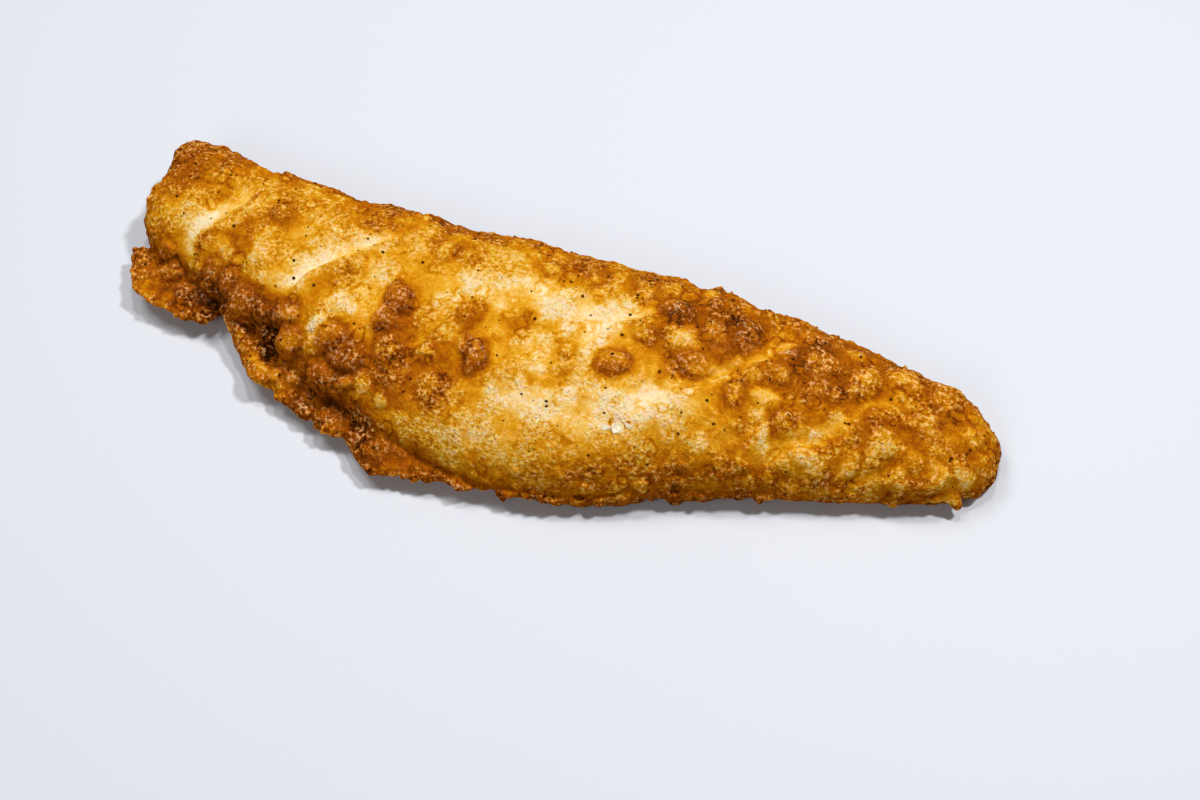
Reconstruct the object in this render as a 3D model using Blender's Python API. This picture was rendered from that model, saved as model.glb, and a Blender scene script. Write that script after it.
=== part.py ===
"""A battered, deep-fried fish fillet: one crusted solid, lying on its flat underside.

The solid is a loft along X. Its outline, its crown and its ragged batter rim come from the driving
dimensions below, and the folds between the flakes and the blown blisters are raised on it as relief.
X runs from the blunt end to the tail end, +Y is the straight side, and Z = 0 is the underside.
"""
import math

import bmesh
import bpy
import numpy as np
from mathutils import Vector, noise

MM = 0.001

# Overall size
LENGTH = 240.0
WIDTH = 77.0
THICKNESS = 25.5

# Long sides of the batter's outline, as (x, y): the straight side and the rolled side
STRAIGHT_SIDE = (
    (-120, 38.5), (-108, 39.4), (-99, 39.6), (-94, 37.4), (-84, 37), (-56, 36), (-41, 37.8), (-34, 36.4),
    (-18, 37.8), (-2, 38.6), (27, 39.4), (50, 37.2), (76, 36.2), (92, 33.4), (108, 29.8), (120, 24),
)
ROLLED_SIDE = (
    (-120, 10.5), (-112, 4), (-98, -1), (-88, -5), (-74, -12), (-60, -19), (-44, -25), (-27, -30), (-8, -32.3),
    (10, -31), (26, -26.5), (44, -19), (64, -12.5), (80, -8), (100, -1.4), (110, 2.4), (120, 7),
)
# Height of the crown along the fillet, and of the widest line of the sides as a share of the crown
CROWN = (
    (-120, 17), (-104, 19.5), (-80, 21), (-40, 23.2), (10, 23.6), (50, 22.2), (80, 19), (104, 15.5), (120, 11),
)
WIDEST_SHARE = 0.3

# Roundness of the section and of the two ends: exponents of a superellipse, 2 being an ellipse
ROLLED_ROUNDNESS = 2.35
STRAIGHT_ROUNDNESS = 2.9
UNDERSIDE_ROUNDNESS = 4.0
BLUNT_END = (26.0, 6.5)
TAIL_END = (21.0, 3.8)
UNDERSIDE_SINK = 1.12
# How far the blunt end is cut back at each y: a shallow notch, then a corner toward the straight side
CUT_BACK = ((4, 0), (11, 0), (17, 0.8), (23, 2.4), (30, 1.8), (36, 1.2), (40, 1.6))

# Thin batter rim that stands out of the rolled side: (x centre, half length, reach)
RIM_LOBES = (
    (-101, 14, 12), (-111, 6, 5.6), (-70, 9, 8.4), (-58, 11, 8.2), (-46, 10, 7.5), (-33, 12, 9.2), (-22, 9, 5.6),
    (-10, 10, 3), (12, 13, 1.6), (31, 6, 1.4), (48, 6, 1), (63, 9, 0.8), (84, 9, 0.3), (101, 8, 0.4),
)
RIM_LOBE_BLUNTNESS = 0.6
RIM_ANGLE = 0.24
RIM_RAGGED = 1.3
RIM_RAGGED_PITCH = 5.5
RIM_RAGGED_SEED = 3.7

# Folds where the flakes of the fish meet, as (x, y) to (x, y), with the ridge beside each
FOLDS = (
    ((-100, 1), (-88, 17)), ((-66, 0), (-46, 20)), ((-29, -6), (-19, 11)), ((-4, 15), (13, 33)),
    ((12, 8), (36, 31)), ((34, -7), (72, 30)), ((69, -6), (89, 14)), ((-19, -18), (-2, -2)),
)
FOLD_DEPTH = 1.1
FOLD_WIDTH = 2.2
RIDGE_HEIGHT = 0.9
RIDGE_OFFSET = 4.4

# Blown blisters of the crust: (x, y, radius, height)
BLISTERS = (
    (-38.2, 4, 4.8, 2.7), (-39.8, -3.5, 4.6, 2.1), (-13, -7, 4.6, 2.6), (-16.3, -3.2, 2.7, 1.5),
    (-17.8, 4, 4.4, 0.9), (-6.3, 6.5, 3.8, 0.8), (8.6, 2.6, 2.6, 0.7), (19.8, 1.8, 3.9, 2.1), (31.2, 24.5, 5, 2.2),
    (51.6, 24, 5, 2.2), (36.5, 10.5, 3.9, 1.9), (37.5, 33, 4.2, 1.2), (-45.8, -14.5, 5, 2.4), (-58.5, -21, 3.9, 1.8),
    (-45, -22.5, 3.8, 1.8), (-78.5, -6, 4.8, 2.4), (-72.6, -7.4, 3.4, 1.8), (-86.5, -4.5, 4.6, 2.4),
    (-98.5, -3.4, 4.6, 2.6), (-92, -4.6, 4.6, 2.5), (-53.5, -14.5, 4.6, 2.2), (-50.5, -20, 4.4, 2.2),
    (51.5, 3.5, 3.8, 1), (66.5, 2, 4.2, 1.1), (68.3, 26.5, 5, 1.5), (70.5, 16.5, 5.2, 1.5), (82, 20.5, 6.4, 1.3),
    (91.5, 5, 6, 1.2), (78.5, 7, 4.4, 0.9), (99, 15.5, 5.4, 1.1), (-91, 5, 3.9, 0.7), (-20, -17.5, 4, 1.2),
)
LUMP_HEIGHT = 0.55
LUMP_PITCH = 11.0
LUMP_SEED = 9.1
# How fast the relief fades down the sides, as a power of the sine of the section's angle
RELIEF_FADE = 0.5

# Fineness of the loft
RINGS_ALONG = 92
RINGS_IN_END = 11
POINTS_OVER = 36
POINTS_UNDER = 10

CRUST_COLOUR = (0.56, 0.27, 0.045, 1.0)
CRUST_ROUGHNESS = 0.42


def through(stations, x):
    """A smooth curve through (x, value) stations, read at x."""
    at = np.array([station[0] for station in stations], float)
    value = np.array([station[1] for station in stations], float)
    slope = np.gradient(value, at)
    k = int(np.clip(np.searchsorted(at, x) - 1, 0, len(at) - 2))
    step = at[k + 1] - at[k]
    t = min(max((x - at[k]) / step, 0.0), 1.0)
    rise = value[k + 1] - value[k]
    bend_a = slope[k] * step - rise
    bend_b = rise - slope[k + 1] * step
    return value[k] + t * rise + t * (1 - t) * ((1 - t) * bend_a + t * bend_b)


def power(value, exponent):
    """A signed power, as a superellipse needs."""
    return math.copysign(abs(value) ** exponent, value)


def ragged(x, y, pitch, seed):
    """Smooth noise between about -1 and 1 that repeats nowhere."""
    return noise.noise(Vector((x / pitch, y / pitch, seed)))


def ring_places():
    """Where each ring of the loft lies: (x, how much of the full section is left)."""
    places = []
    blunt_length, blunt_power = BLUNT_END
    tail_length, tail_power = TAIL_END
    quarter = math.pi / 2
    for k in range(1, RINGS_IN_END):
        angle = quarter * (1 - k / RINGS_IN_END)
        x = -LENGTH / 2 + blunt_length * (1 - math.sin(angle) ** (2 / blunt_power))
        places.append((x, math.cos(angle) ** (2 / blunt_power)))
    first, last = -LENGTH / 2 + blunt_length, LENGTH / 2 - tail_length
    for k in range(RINGS_ALONG + 1):
        places.append((first + (last - first) * k / RINGS_ALONG, 1.0))
    for k in range(1, RINGS_IN_END):
        angle = quarter * k / RINGS_IN_END
        x = LENGTH / 2 - tail_length * (1 - math.sin(angle) ** (2 / tail_power))
        places.append((x, math.cos(angle) ** (2 / tail_power)))
    return places


def section_angles():
    """Angles round the section, from the rolled side over the top, then back under the food."""
    over = [math.pi * k / POINTS_OVER for k in range(POINTS_OVER)]
    under = [math.pi * (1 + k / POINTS_UNDER) for k in range(POINTS_UNDER)]
    return over + under


def rim_reach(x):
    """How far the thin batter rim stands out of the rolled side at x."""
    reach = 0.0
    for centre, half_length, most in RIM_LOBES:
        away = (x - centre) / half_length
        if abs(away) < 1:
            reach = max(reach, most * (1 - away * away) ** RIM_LOBE_BLUNTNESS)
    return max(reach + RIM_RAGGED * ragged(x, 0, RIM_RAGGED_PITCH, RIM_RAGGED_SEED), 0.0)


def section_point(x, left, angle):
    """The plain crowned section at x, without relief, as (y, z)."""
    near, far, crown = (through(curve, x) for curve in (ROLLED_SIDE, STRAIGHT_SIDE, CROWN))
    middle, half = (near + far) / 2, (far - near) / 2 * left
    widest = crown * WIDEST_SHARE
    toward_far = math.cos(angle) < 0
    roundness = STRAIGHT_ROUNDNESS if toward_far else ROLLED_ROUNDNESS
    y = middle - half * power(math.cos(angle), 2 / roundness)
    if math.sin(angle) >= 0:
        return y, widest + (crown - widest) * left * math.sin(angle) ** (2 / roundness)
    sunk = widest * (1 - UNDERSIDE_SINK * left * abs(math.sin(angle)) ** (2 / UNDERSIDE_ROUNDNESS))
    return y, max(sunk, 0.0)


def relief(x, y):
    """Height of the folds, blisters and lumps that stand on the crust at a place in plan."""
    height = LUMP_HEIGHT * ragged(x, y, LUMP_PITCH, LUMP_SEED)
    for start, end in FOLDS:
        line = Vector(end) - Vector(start)
        length = line.length
        line.normalize()
        away = Vector((x, y)) - Vector(start)
        along, across = away.dot(line), away.x * line.y - away.y * line.x
        fade = math.exp(-(max(-along, along - length, 0.0) / FOLD_WIDTH) ** 2)
        height -= fade * FOLD_DEPTH * math.exp(-(across / FOLD_WIDTH) ** 2)
        height += fade * RIDGE_HEIGHT * math.exp(-((across - RIDGE_OFFSET) / FOLD_WIDTH) ** 2)
    domes = 0.0
    for centre_x, centre_y, radius, rise in BLISTERS:
        share = 1 - ((x - centre_x) ** 2 + (y - centre_y) ** 2) / radius ** 2
        if share > 0:
            domes = max(domes, rise * math.sqrt(share))
    return height + domes


def end_share(x):
    """How far into the blunt end x is, from 0 where it starts to 1 at its face."""
    return min(max((BLUNT_END[0] - LENGTH / 2 - x) / BLUNT_END[0], 0.0), 1.0)


def crust_rings():
    """The rings of points that the skin is stretched over, in millimetres."""
    rings = []
    for x, left in ring_places():
        reach = rim_reach(x) * left
        ring = []
        for angle in section_angles():
            y, z = section_point(x, left, angle)
            from_rim = min(angle, 2 * math.pi - angle) / RIM_ANGLE
            y -= reach * math.exp(-from_rim ** 2)
            top = max(math.sin(angle), 0.0) ** RELIEF_FADE
            cut = through(CUT_BACK, y) * end_share(x) ** 2
            ring.append(Vector((x + cut, y, z + top * left * relief(x, y))))
        rings.append(ring)
    return rings


def loft(rings):
    """A closed skin over the rings, with a fan at each end."""
    skin = bmesh.new()
    rows = [[skin.verts.new(point * MM) for point in ring] for ring in rings]
    for row, following in zip(rows, rows[1:]):
        for k in range(len(row)):
            after = (k + 1) % len(row)
            skin.faces.new((row[k], row[after], following[after], following[k]))
    for row, end_x in ((rows[0], -LENGTH / 2), (rows[-1], LENGTH / 2)):
        centre = sum((vertex.co for vertex in row), Vector()) / len(row)
        tip = skin.verts.new((end_x * MM, centre.y, centre.z))
        for k in range(len(row)):
            skin.faces.new((row[k], row[(k + 1) % len(row)], tip))
    bmesh.ops.recalc_face_normals(skin, faces=skin.faces)
    return skin


def fit_to_size(skin):
    """Stretches the skin to the overall size, centred in plan and standing on Z = 0."""
    points = np.array([vertex.co for vertex in skin.verts])
    low, high = points.min(axis=0), points.max(axis=0)
    scale = np.array((LENGTH, WIDTH, THICKNESS)) * MM / (high - low)
    base = np.array(((low[0] + high[0]) / 2, (low[1] + high[1]) / 2, low[2]))
    for vertex, point in zip(skin.verts, (points - base) * scale):
        vertex.co = point


def crust_material():
    """Golden-brown fried batter."""
    material = bpy.data.materials.new("fried_batter")
    material.use_nodes = True
    shader = material.node_tree.nodes["Principled BSDF"]
    shader.inputs["Base Color"].default_value = CRUST_COLOUR
    shader.inputs["Roughness"].default_value = CRUST_ROUGHNESS
    shader.inputs["Metallic"].default_value = 0.0
    return material


def build_fillet(collection):
    """The battered fillet, as one named object."""
    skin = loft(crust_rings())
    fit_to_size(skin)
    mesh = bpy.data.meshes.new("battered_fillet")
    skin.to_mesh(mesh)
    skin.free()
    mesh.shade_smooth()
    mesh.materials.append(crust_material())
    fillet = bpy.data.objects.new("battered_fillet", mesh)
    collection.objects.link(fillet)
    return fillet


def main():
    """Clears the scene and models the fillet."""
    for thing in list(bpy.data.objects):
        bpy.data.objects.remove(thing, do_unlink=True)
    collection = bpy.data.collections.new("fried_fish_fillet")
    bpy.context.scene.collection.children.link(collection)
    build_fillet(collection)


if __name__ == "__main__":
    main()
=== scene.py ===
"""The looks of a battered, deep-fried fish fillet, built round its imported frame.

The crust is one skin: a lofted body, a ragged batter rim and blown blisters are welded together and
then get their folds, lumps and browning. Pepper, crumbs, torn flakes and a strand of batter lie on it.
Design values are in millimetres in the frame's own axes: +X runs from the blunt end to the tail end,
+Y is the straight side, and Z = 0 is the surface that the fillet lies on.
"""
import logging
import math
from collections.abc import Callable, Iterable, Iterator, Sequence
from dataclasses import dataclass, field
from enum import Enum

import bmesh
import bpy
import numpy as np
from bpy.types import ID, Material, Mesh, Node, NodeSocket, NodeTree, Object
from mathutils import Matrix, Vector, noise
from mathutils.bvhtree import BVHTree


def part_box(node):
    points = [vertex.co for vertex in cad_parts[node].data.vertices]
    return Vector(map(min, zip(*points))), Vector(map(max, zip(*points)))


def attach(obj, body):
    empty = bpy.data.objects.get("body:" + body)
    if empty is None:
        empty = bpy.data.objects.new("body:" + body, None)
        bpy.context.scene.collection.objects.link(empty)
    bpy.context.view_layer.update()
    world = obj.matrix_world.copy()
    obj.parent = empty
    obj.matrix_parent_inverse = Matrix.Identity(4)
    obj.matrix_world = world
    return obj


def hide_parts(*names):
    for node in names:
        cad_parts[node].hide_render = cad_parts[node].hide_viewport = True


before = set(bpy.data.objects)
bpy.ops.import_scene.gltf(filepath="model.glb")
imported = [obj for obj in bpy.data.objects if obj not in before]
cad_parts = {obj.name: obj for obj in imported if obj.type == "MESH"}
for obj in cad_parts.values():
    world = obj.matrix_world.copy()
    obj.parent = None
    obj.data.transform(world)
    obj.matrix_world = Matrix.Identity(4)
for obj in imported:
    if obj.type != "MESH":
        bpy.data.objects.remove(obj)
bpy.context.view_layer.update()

LOG = logging.getLogger("fish_fillet")
MM = 0.001
NODE = "battered_fillet"
BODY = "root"
FULL_TURN = 6.28  # radians, for grains that chance turns
TONES = (0.02, 0.95)  # the palest and the brownest that the crust may be
WANDERING = ((11.0, 3.4, 1.0), (3.6, 0.6, 2.0))  # pitch, reach and seed of each wave
DOWN = Vector((0, 0, -1))
noise.seed_set(5)


# ---------------------------------------------------------------- small mathematics

def signed_power(value: np.ndarray, exponent: np.ndarray | float) -> np.ndarray:
    """A power that keeps its sign, as a superellipse needs."""
    return np.sign(value) * np.abs(value) ** exponent


def step(value: np.ndarray, low: float, high: float) -> np.ndarray:
    """A smooth step from 0 at low to 1 at high, where low may be the larger."""
    share = np.clip((value - low) / (high - low), 0.0, 1.0)
    return share * share * (3 - 2 * share)


def noise_at(points: np.ndarray, pitch: float, seed: float) -> np.ndarray:
    """Smooth noise over points in millimetres.

    Args:
        points: places, one row each.
        pitch: the size of one lump, in millimetres.
        seed: picks one pattern.

    Returns:
        A value from about -1 to 1 for each place.
    """
    scaled = points / pitch + np.array((seed * 7.31, -seed * 3.17, seed * 5.77))
    return np.array([noise.noise(row) for row in scaled.tolist()])


def lumps_at(points: np.ndarray, *layers: tuple[float, float, float]) -> np.ndarray:
    """Layers of smooth noise added up, each a height, a pitch and a seed."""
    return sum(height * noise_at(points, pitch, seed) for height, pitch, seed in layers)


def bell(value: np.ndarray) -> np.ndarray:
    """A soft hump that is 1 at 0 and next to nothing from 2 on."""
    return np.exp(-value ** 2)


def drifted(points: np.ndarray, pitch: float, reach: float, seed: float) -> np.ndarray:
    """The points moved about by smooth noise, which makes straight edges wander.

    Args:
        points: places, one row each, in millimetres.
        pitch: the size of one wave, in millimetres.
        reach: how far a point may move, in millimetres.
        seed: picks one pattern.

    Returns:
        The moved points.
    """
    scaled = points / pitch + np.array((seed * 4.13, seed * 6.71, -seed * 2.39))
    return points + reach * np.array([noise.noise_vector(row) for row in scaled.tolist()])


def wandered(points: np.ndarray) -> np.ndarray:
    """The points moved as everything round on the crust is, so that shapes and tones agree.

    Args:
        points: places, one row each, in millimetres.

    Returns:
        The moved points.
    """
    for pitch, reach, seed in WANDERING:
        points = drifted(points, pitch, reach, seed)
    return points


def cobbled(points: np.ndarray, pitch: float, seed: float) -> tuple[np.ndarray, np.ndarray]:
    """A pattern of cells, as lumps that grew until they met.

    Args:
        points: places, one row each, in millimetres.
        pitch: the size of one cell, in millimetres.
        seed: picks one pattern.

    Returns:
        How far inside its cell each point is, from 0 at the edge, and a chance from 0 to 1 that is
        the same all over one cell.
    """
    scaled = points / pitch + np.array((seed * 3.91, seed * 2.17, -seed * 5.03))
    inside, chance = np.empty(len(points)), np.empty(len(points))
    for index, row in enumerate(scaled.tolist()):
        away, centres = noise.voronoi(row)
        inside[index] = away[1] - away[0]
        chance[index] = noise.cell(centres[0] * 37.0)
    return inside, chance % 1.0


@dataclass(frozen=True)
class Profile:
    """A smooth line through (place, value) stations."""

    stations: tuple[tuple[float, float], ...]

    def at(self, place: np.ndarray) -> np.ndarray:
        """The value at each place, held level past both ends.

        Args:
            place: where along the line.

        Returns:
            The values.
        """
        knots, values = np.array(self.stations, float).T
        slopes = np.gradient(values, knots)
        k = np.clip(np.searchsorted(knots, place) - 1, 0, len(knots) - 2)
        gap = knots[k + 1] - knots[k]
        t = np.clip((place - knots[k]) / gap, 0.0, 1.0)
        rise = values[k + 1] - values[k]
        bend = (1 - t) * (slopes[k] * gap - rise) + t * (rise - slopes[k + 1] * gap)
        return values[k] + t * rise + t * (1 - t) * bend


@dataclass(frozen=True)
class Tint:
    """A colour as it looks, in 0 to 255 steps."""

    red: int
    green: int
    blue: int

    @property
    def linear(self) -> tuple[float, float, float, float]:
        """The same colour as shader values.

        Returns:
            Red, green, blue and alpha from 0 to 1.
        """
        shares = (channel / 255 for channel in (self.red, self.green, self.blue))
        light = [c / 12.92 if c <= 0.04045 else ((c + 0.055) / 1.055) ** 2.4 for c in shares]
        return (light[0], light[1], light[2], 1.0)


# ---------------------------------------------------------------- meshes

def mesh_of(name: str, points: np.ndarray, faces: Sequence[Sequence[int]]) -> Mesh:
    """A mesh from points in millimetres and the corners of its faces.

    Args:
        name: the mesh's name.
        points: places, one row each, in millimetres.
        faces: the numbers of each face's corners.

    Returns:
        The new mesh, in metres.
    """
    mesh = bpy.data.meshes.new(name)
    mesh.from_pydata((np.asarray(points) * MM).tolist(), [], faces)
    mesh.update()
    return mesh


def points_of(mesh: Mesh) -> np.ndarray:
    """The mesh's points in millimetres.

    Args:
        mesh: any mesh.

    Returns:
        Places, one row each, in millimetres.
    """
    flat = np.empty(len(mesh.vertices) * 3, np.float32)
    mesh.vertices.foreach_get("co", flat)
    return flat.reshape(-1, 3).astype(float) / MM


def normals_of(mesh: Mesh) -> np.ndarray:
    """The mesh's outward directions, one for each point.

    Args:
        mesh: any mesh.

    Returns:
        Directions of length 1, one row each.
    """
    flat = np.empty(len(mesh.vertices) * 3, np.float32)
    mesh.vertex_normals.foreach_get("vector", flat)
    return flat.reshape(-1, 3).astype(float)


def place_points(mesh: Mesh, points: np.ndarray) -> None:
    """Moves the mesh's points to these places, in millimetres."""
    mesh.vertices.foreach_set("co", (points * MM).astype(np.float32).ravel())
    mesh.update()


def upright(mesh: Mesh) -> Mesh:
    """The mesh with all its faces turned outwards.

    Args:
        mesh: a closed mesh, which is changed.

    Returns:
        The same mesh.
    """
    work = bmesh.new()
    work.from_mesh(mesh)
    bmesh.ops.recalc_face_normals(work, faces=work.faces)
    work.to_mesh(mesh)
    work.free()
    return mesh


def ring_faces(rings: int, around: int) -> list[tuple[int, ...]]:
    """The faces between rings of points that go ring by ring.

    Args:
        rings: how many rings there are.
        around: how many points each ring has.

    Returns:
        The corners of each face.
    """
    faces = []
    for i in range(rings - 1):
        for j in range(around):
            a, b = i * around + j, i * around + (j + 1) % around
            faces.append((a, b, b + around, a + around))
    return faces


def tube_of(name: str, grid: np.ndarray) -> Mesh:
    """A tube over a grid of rings of points, closed at both ends.

    Args:
        name: the mesh's name.
        grid: places in millimetres, by ring and by point in the ring.

    Returns:
        The closed mesh.
    """
    rings, around = grid.shape[:2]
    ends = [tuple(range(around)), tuple(reversed(range((rings - 1) * around, rings * around)))]
    return upright(mesh_of(name, grid.reshape(-1, 3), ends + ring_faces(rings, around)))


def hollow_of(mesh: Mesh, rounds: int) -> np.ndarray:
    """How deep each point lies in its surroundings.

    Args:
        mesh: the skin.
        rounds: how many times the skin is smoothed, and so how wide the surroundings are.

    Returns:
        Millimetres below the smoothed skin for each point, negative on a bump.
    """
    edges = np.empty(len(mesh.edges) * 2, np.int32)
    mesh.edges.foreach_get("vertices", edges)
    one, other = edges.reshape(-1, 2).T
    points = points_of(mesh)
    count = np.bincount(one, minlength=len(points)) + np.bincount(other, minlength=len(points))
    smooth = points.copy()
    for _ in range(rounds):
        total = np.zeros_like(smooth)
        for axis in range(3):
            total[:, axis] = np.bincount(one, smooth[other, axis], len(points))
            total[:, axis] += np.bincount(other, smooth[one, axis], len(points))
        smooth = 0.4 * smooth + 0.6 * total / np.maximum(count, 1)[:, None]
    return np.einsum("ij,ij->i", smooth - points, normals_of(mesh))


def mark(mesh: Mesh, name: str, values: np.ndarray) -> None:
    """Keeps one number for each point of the mesh, under a name that the materials read."""
    layer = mesh.attributes.get(name) or mesh.attributes.new(name, "FLOAT", "POINT")
    layer.data.foreach_set("value", values.astype(np.float32))


def gathered(name: str, meshes: Iterable[Mesh]) -> Mesh:
    """One mesh that holds all the faces of the others.

    Args:
        name: the new mesh's name.
        meshes: what it is made of. They stay as they are.

    Returns:
        The new mesh.
    """
    whole = bmesh.new()
    for mesh in meshes:
        whole.from_mesh(mesh)
    mesh = bpy.data.meshes.new(name)
    whole.to_mesh(mesh)
    whole.free()
    return mesh


def in_scene(name: str, data: ID) -> Object:
    """A new object in the scene.

    Args:
        name: the object's name.
        data: its mesh, light or camera.

    Returns:
        The object.
    """
    made = bpy.data.objects.new(name, data)
    bpy.context.scene.collection.objects.link(made)
    return made


def shaped(mesh: Mesh, modify: Callable[[Object], None]) -> Mesh:
    """The mesh that modifiers make of another.

    Args:
        mesh: what the modifiers start from.
        modify: adds the modifiers to the working object that it is given.

    Returns:
        A new mesh with the modifiers applied. The working object is gone.
    """
    worker = in_scene("worker", mesh)
    modify(worker)
    bpy.context.view_layer.update()
    graph = bpy.context.evaluated_depsgraph_get()
    made = bpy.data.meshes.new_from_object(worker.evaluated_get(graph))
    bpy.data.objects.remove(worker, do_unlink=True)
    return made


def finished(name: str, mesh: Mesh, material: Material) -> Object:
    """A shown piece of the fillet that rides on its body.

    Args:
        name: the piece's name.
        mesh: its final mesh, in place.
        material: its only material.

    Returns:
        The piece, riding on its body and with its slot named.
    """
    mesh.name = name
    mesh.materials.clear()
    mesh.materials.append(material)
    mesh.shade_smooth()
    piece = in_scene(name, mesh)
    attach(piece, BODY)
    mesh.calc_loop_triangles()
    LOG.info("%s: %d triangles", name, len(mesh.loop_triangles))
    return piece


# ---------------------------------------------------------------- node trees

class Bench:
    """Adds nodes to one tree and joins them."""

    def __init__(self, tree: NodeTree) -> None:
        """Works on the given tree."""
        self.tree = tree

    def feed(self, target: NodeSocket, value: object) -> None:
        """Joins an output to an input, or sets the input's own value.

        Args:
            target: the input.
            value: an output, or what the input is set to.
        """
        if isinstance(value, NodeSocket):
            self.tree.links.new(value, target)
        else:
            target.default_value = value

    def fill(self, node: Node, feeds: dict[str, object]) -> None:
        """Feeds the inputs in use that have these names."""
        for name, value in feeds.items():
            self.feed(next(s for s in node.inputs if s.enabled and s.name == name), value)

    def add(self, kind: str, feeds: dict[str, object] | None = None, **settings: object) -> Node:
        """Adds one node.

        Args:
            kind: the node's type name.
            feeds: for each input, a value or the output socket that is joined to it.
            settings: the node's own settings.

        Returns:
            The new node.
        """
        node = self.tree.nodes.new(kind)
        for name, value in settings.items():
            setattr(node, name, value)
        self.fill(node, feeds or {})
        return node

    def out(self, kind: str, feeds: dict[str, object] | None = None, **settings: object) -> NodeSocket:
        """Adds one node and gives its first output in use."""
        return next(s for s in self.add(kind, feeds, **settings).outputs if s.enabled)

    def math(self, operation: str, first: object, second: object = 0.0) -> NodeSocket:
        """One sum, with sockets or numbers.

        Args:
            operation: the kind of sum.
            first: its first term.
            second: its second term, where it has one.

        Returns:
            The result.
        """
        node = self.add("ShaderNodeMath", operation=operation)
        for target, value in zip(node.inputs, (first, second)):
            self.feed(target, value)
        return node.outputs[0]

    def plus(self, first: object, second: object) -> NodeSocket:
        """The two added."""
        return self.math("ADD", first, second)

    def less(self, first: object, second: object) -> NodeSocket:
        """The first less the second."""
        return self.math("SUBTRACT", first, second)

    def times(self, first: object, second: object) -> NodeSocket:
        """The two multiplied."""
        return self.math("MULTIPLY", first, second)

    def between(self, value: object, low: float, high: float) -> NodeSocket:
        """A smooth mask that is 0 at low and 1 at high."""
        feeds = {"Value": value, "From Min": low, "From Max": high}
        return self.out("ShaderNodeMapRange", feeds, interpolation_type="SMOOTHSTEP")

    def mixed(self, share: object, first: object, second: object) -> NodeSocket:
        """The first colour with this share of the second.

        Args:
            share: how much of the second, from 0 to 1.
            first: a colour.
            second: another colour.

        Returns:
            The mixed colour.
        """
        node = self.add("ShaderNodeMix", data_type="RGBA", blend_type="MIX")
        for index, value in ((0, share), (6, first), (7, second)):
            self.feed(node.inputs[index], value)
        return node.outputs[2]

    def nudged(self, place: NodeSocket, scale: float, reach: float) -> NodeSocket:
        """A place that noise has moved a little.

        Args:
            place: where it starts.
            scale: how many waves a metre.
            reach: how far it may move, in metres.

        Returns:
            The moved place.
        """
        cloud = self.add("ShaderNodeTexNoise", {"Vector": place, "Scale": scale})
        node = self.add("ShaderNodeVectorMath", operation="MULTIPLY_ADD")
        for target, value in zip(node.inputs, (cloud.outputs["Color"], (reach, reach, reach), place)):
            self.feed(target, value)
        return node.outputs["Vector"]


def new_group(name: str, kind: str, inputs: Sequence[tuple], outputs: Sequence[tuple]) -> NodeTree:
    """An empty node group with its sockets.

    Args:
        name: the group's name.
        kind: the tree's type name.
        inputs: (name, socket kind) for each, and a default value where it has one.
        outputs: (name, socket kind) for each.

    Returns:
        The tree, to be filled in.
    """
    tree = bpy.data.node_groups.new(name, kind)
    for way, sockets in (("INPUT", inputs), ("OUTPUT", outputs)):
        for label, socket_kind, *default in sockets:
            socket = tree.interface.new_socket(label, in_out=way, socket_type=f"NodeSocket{socket_kind}")
            if default:
                socket.default_value = default[0]
    return tree


# ---------------------------------------------------------------- form

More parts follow.
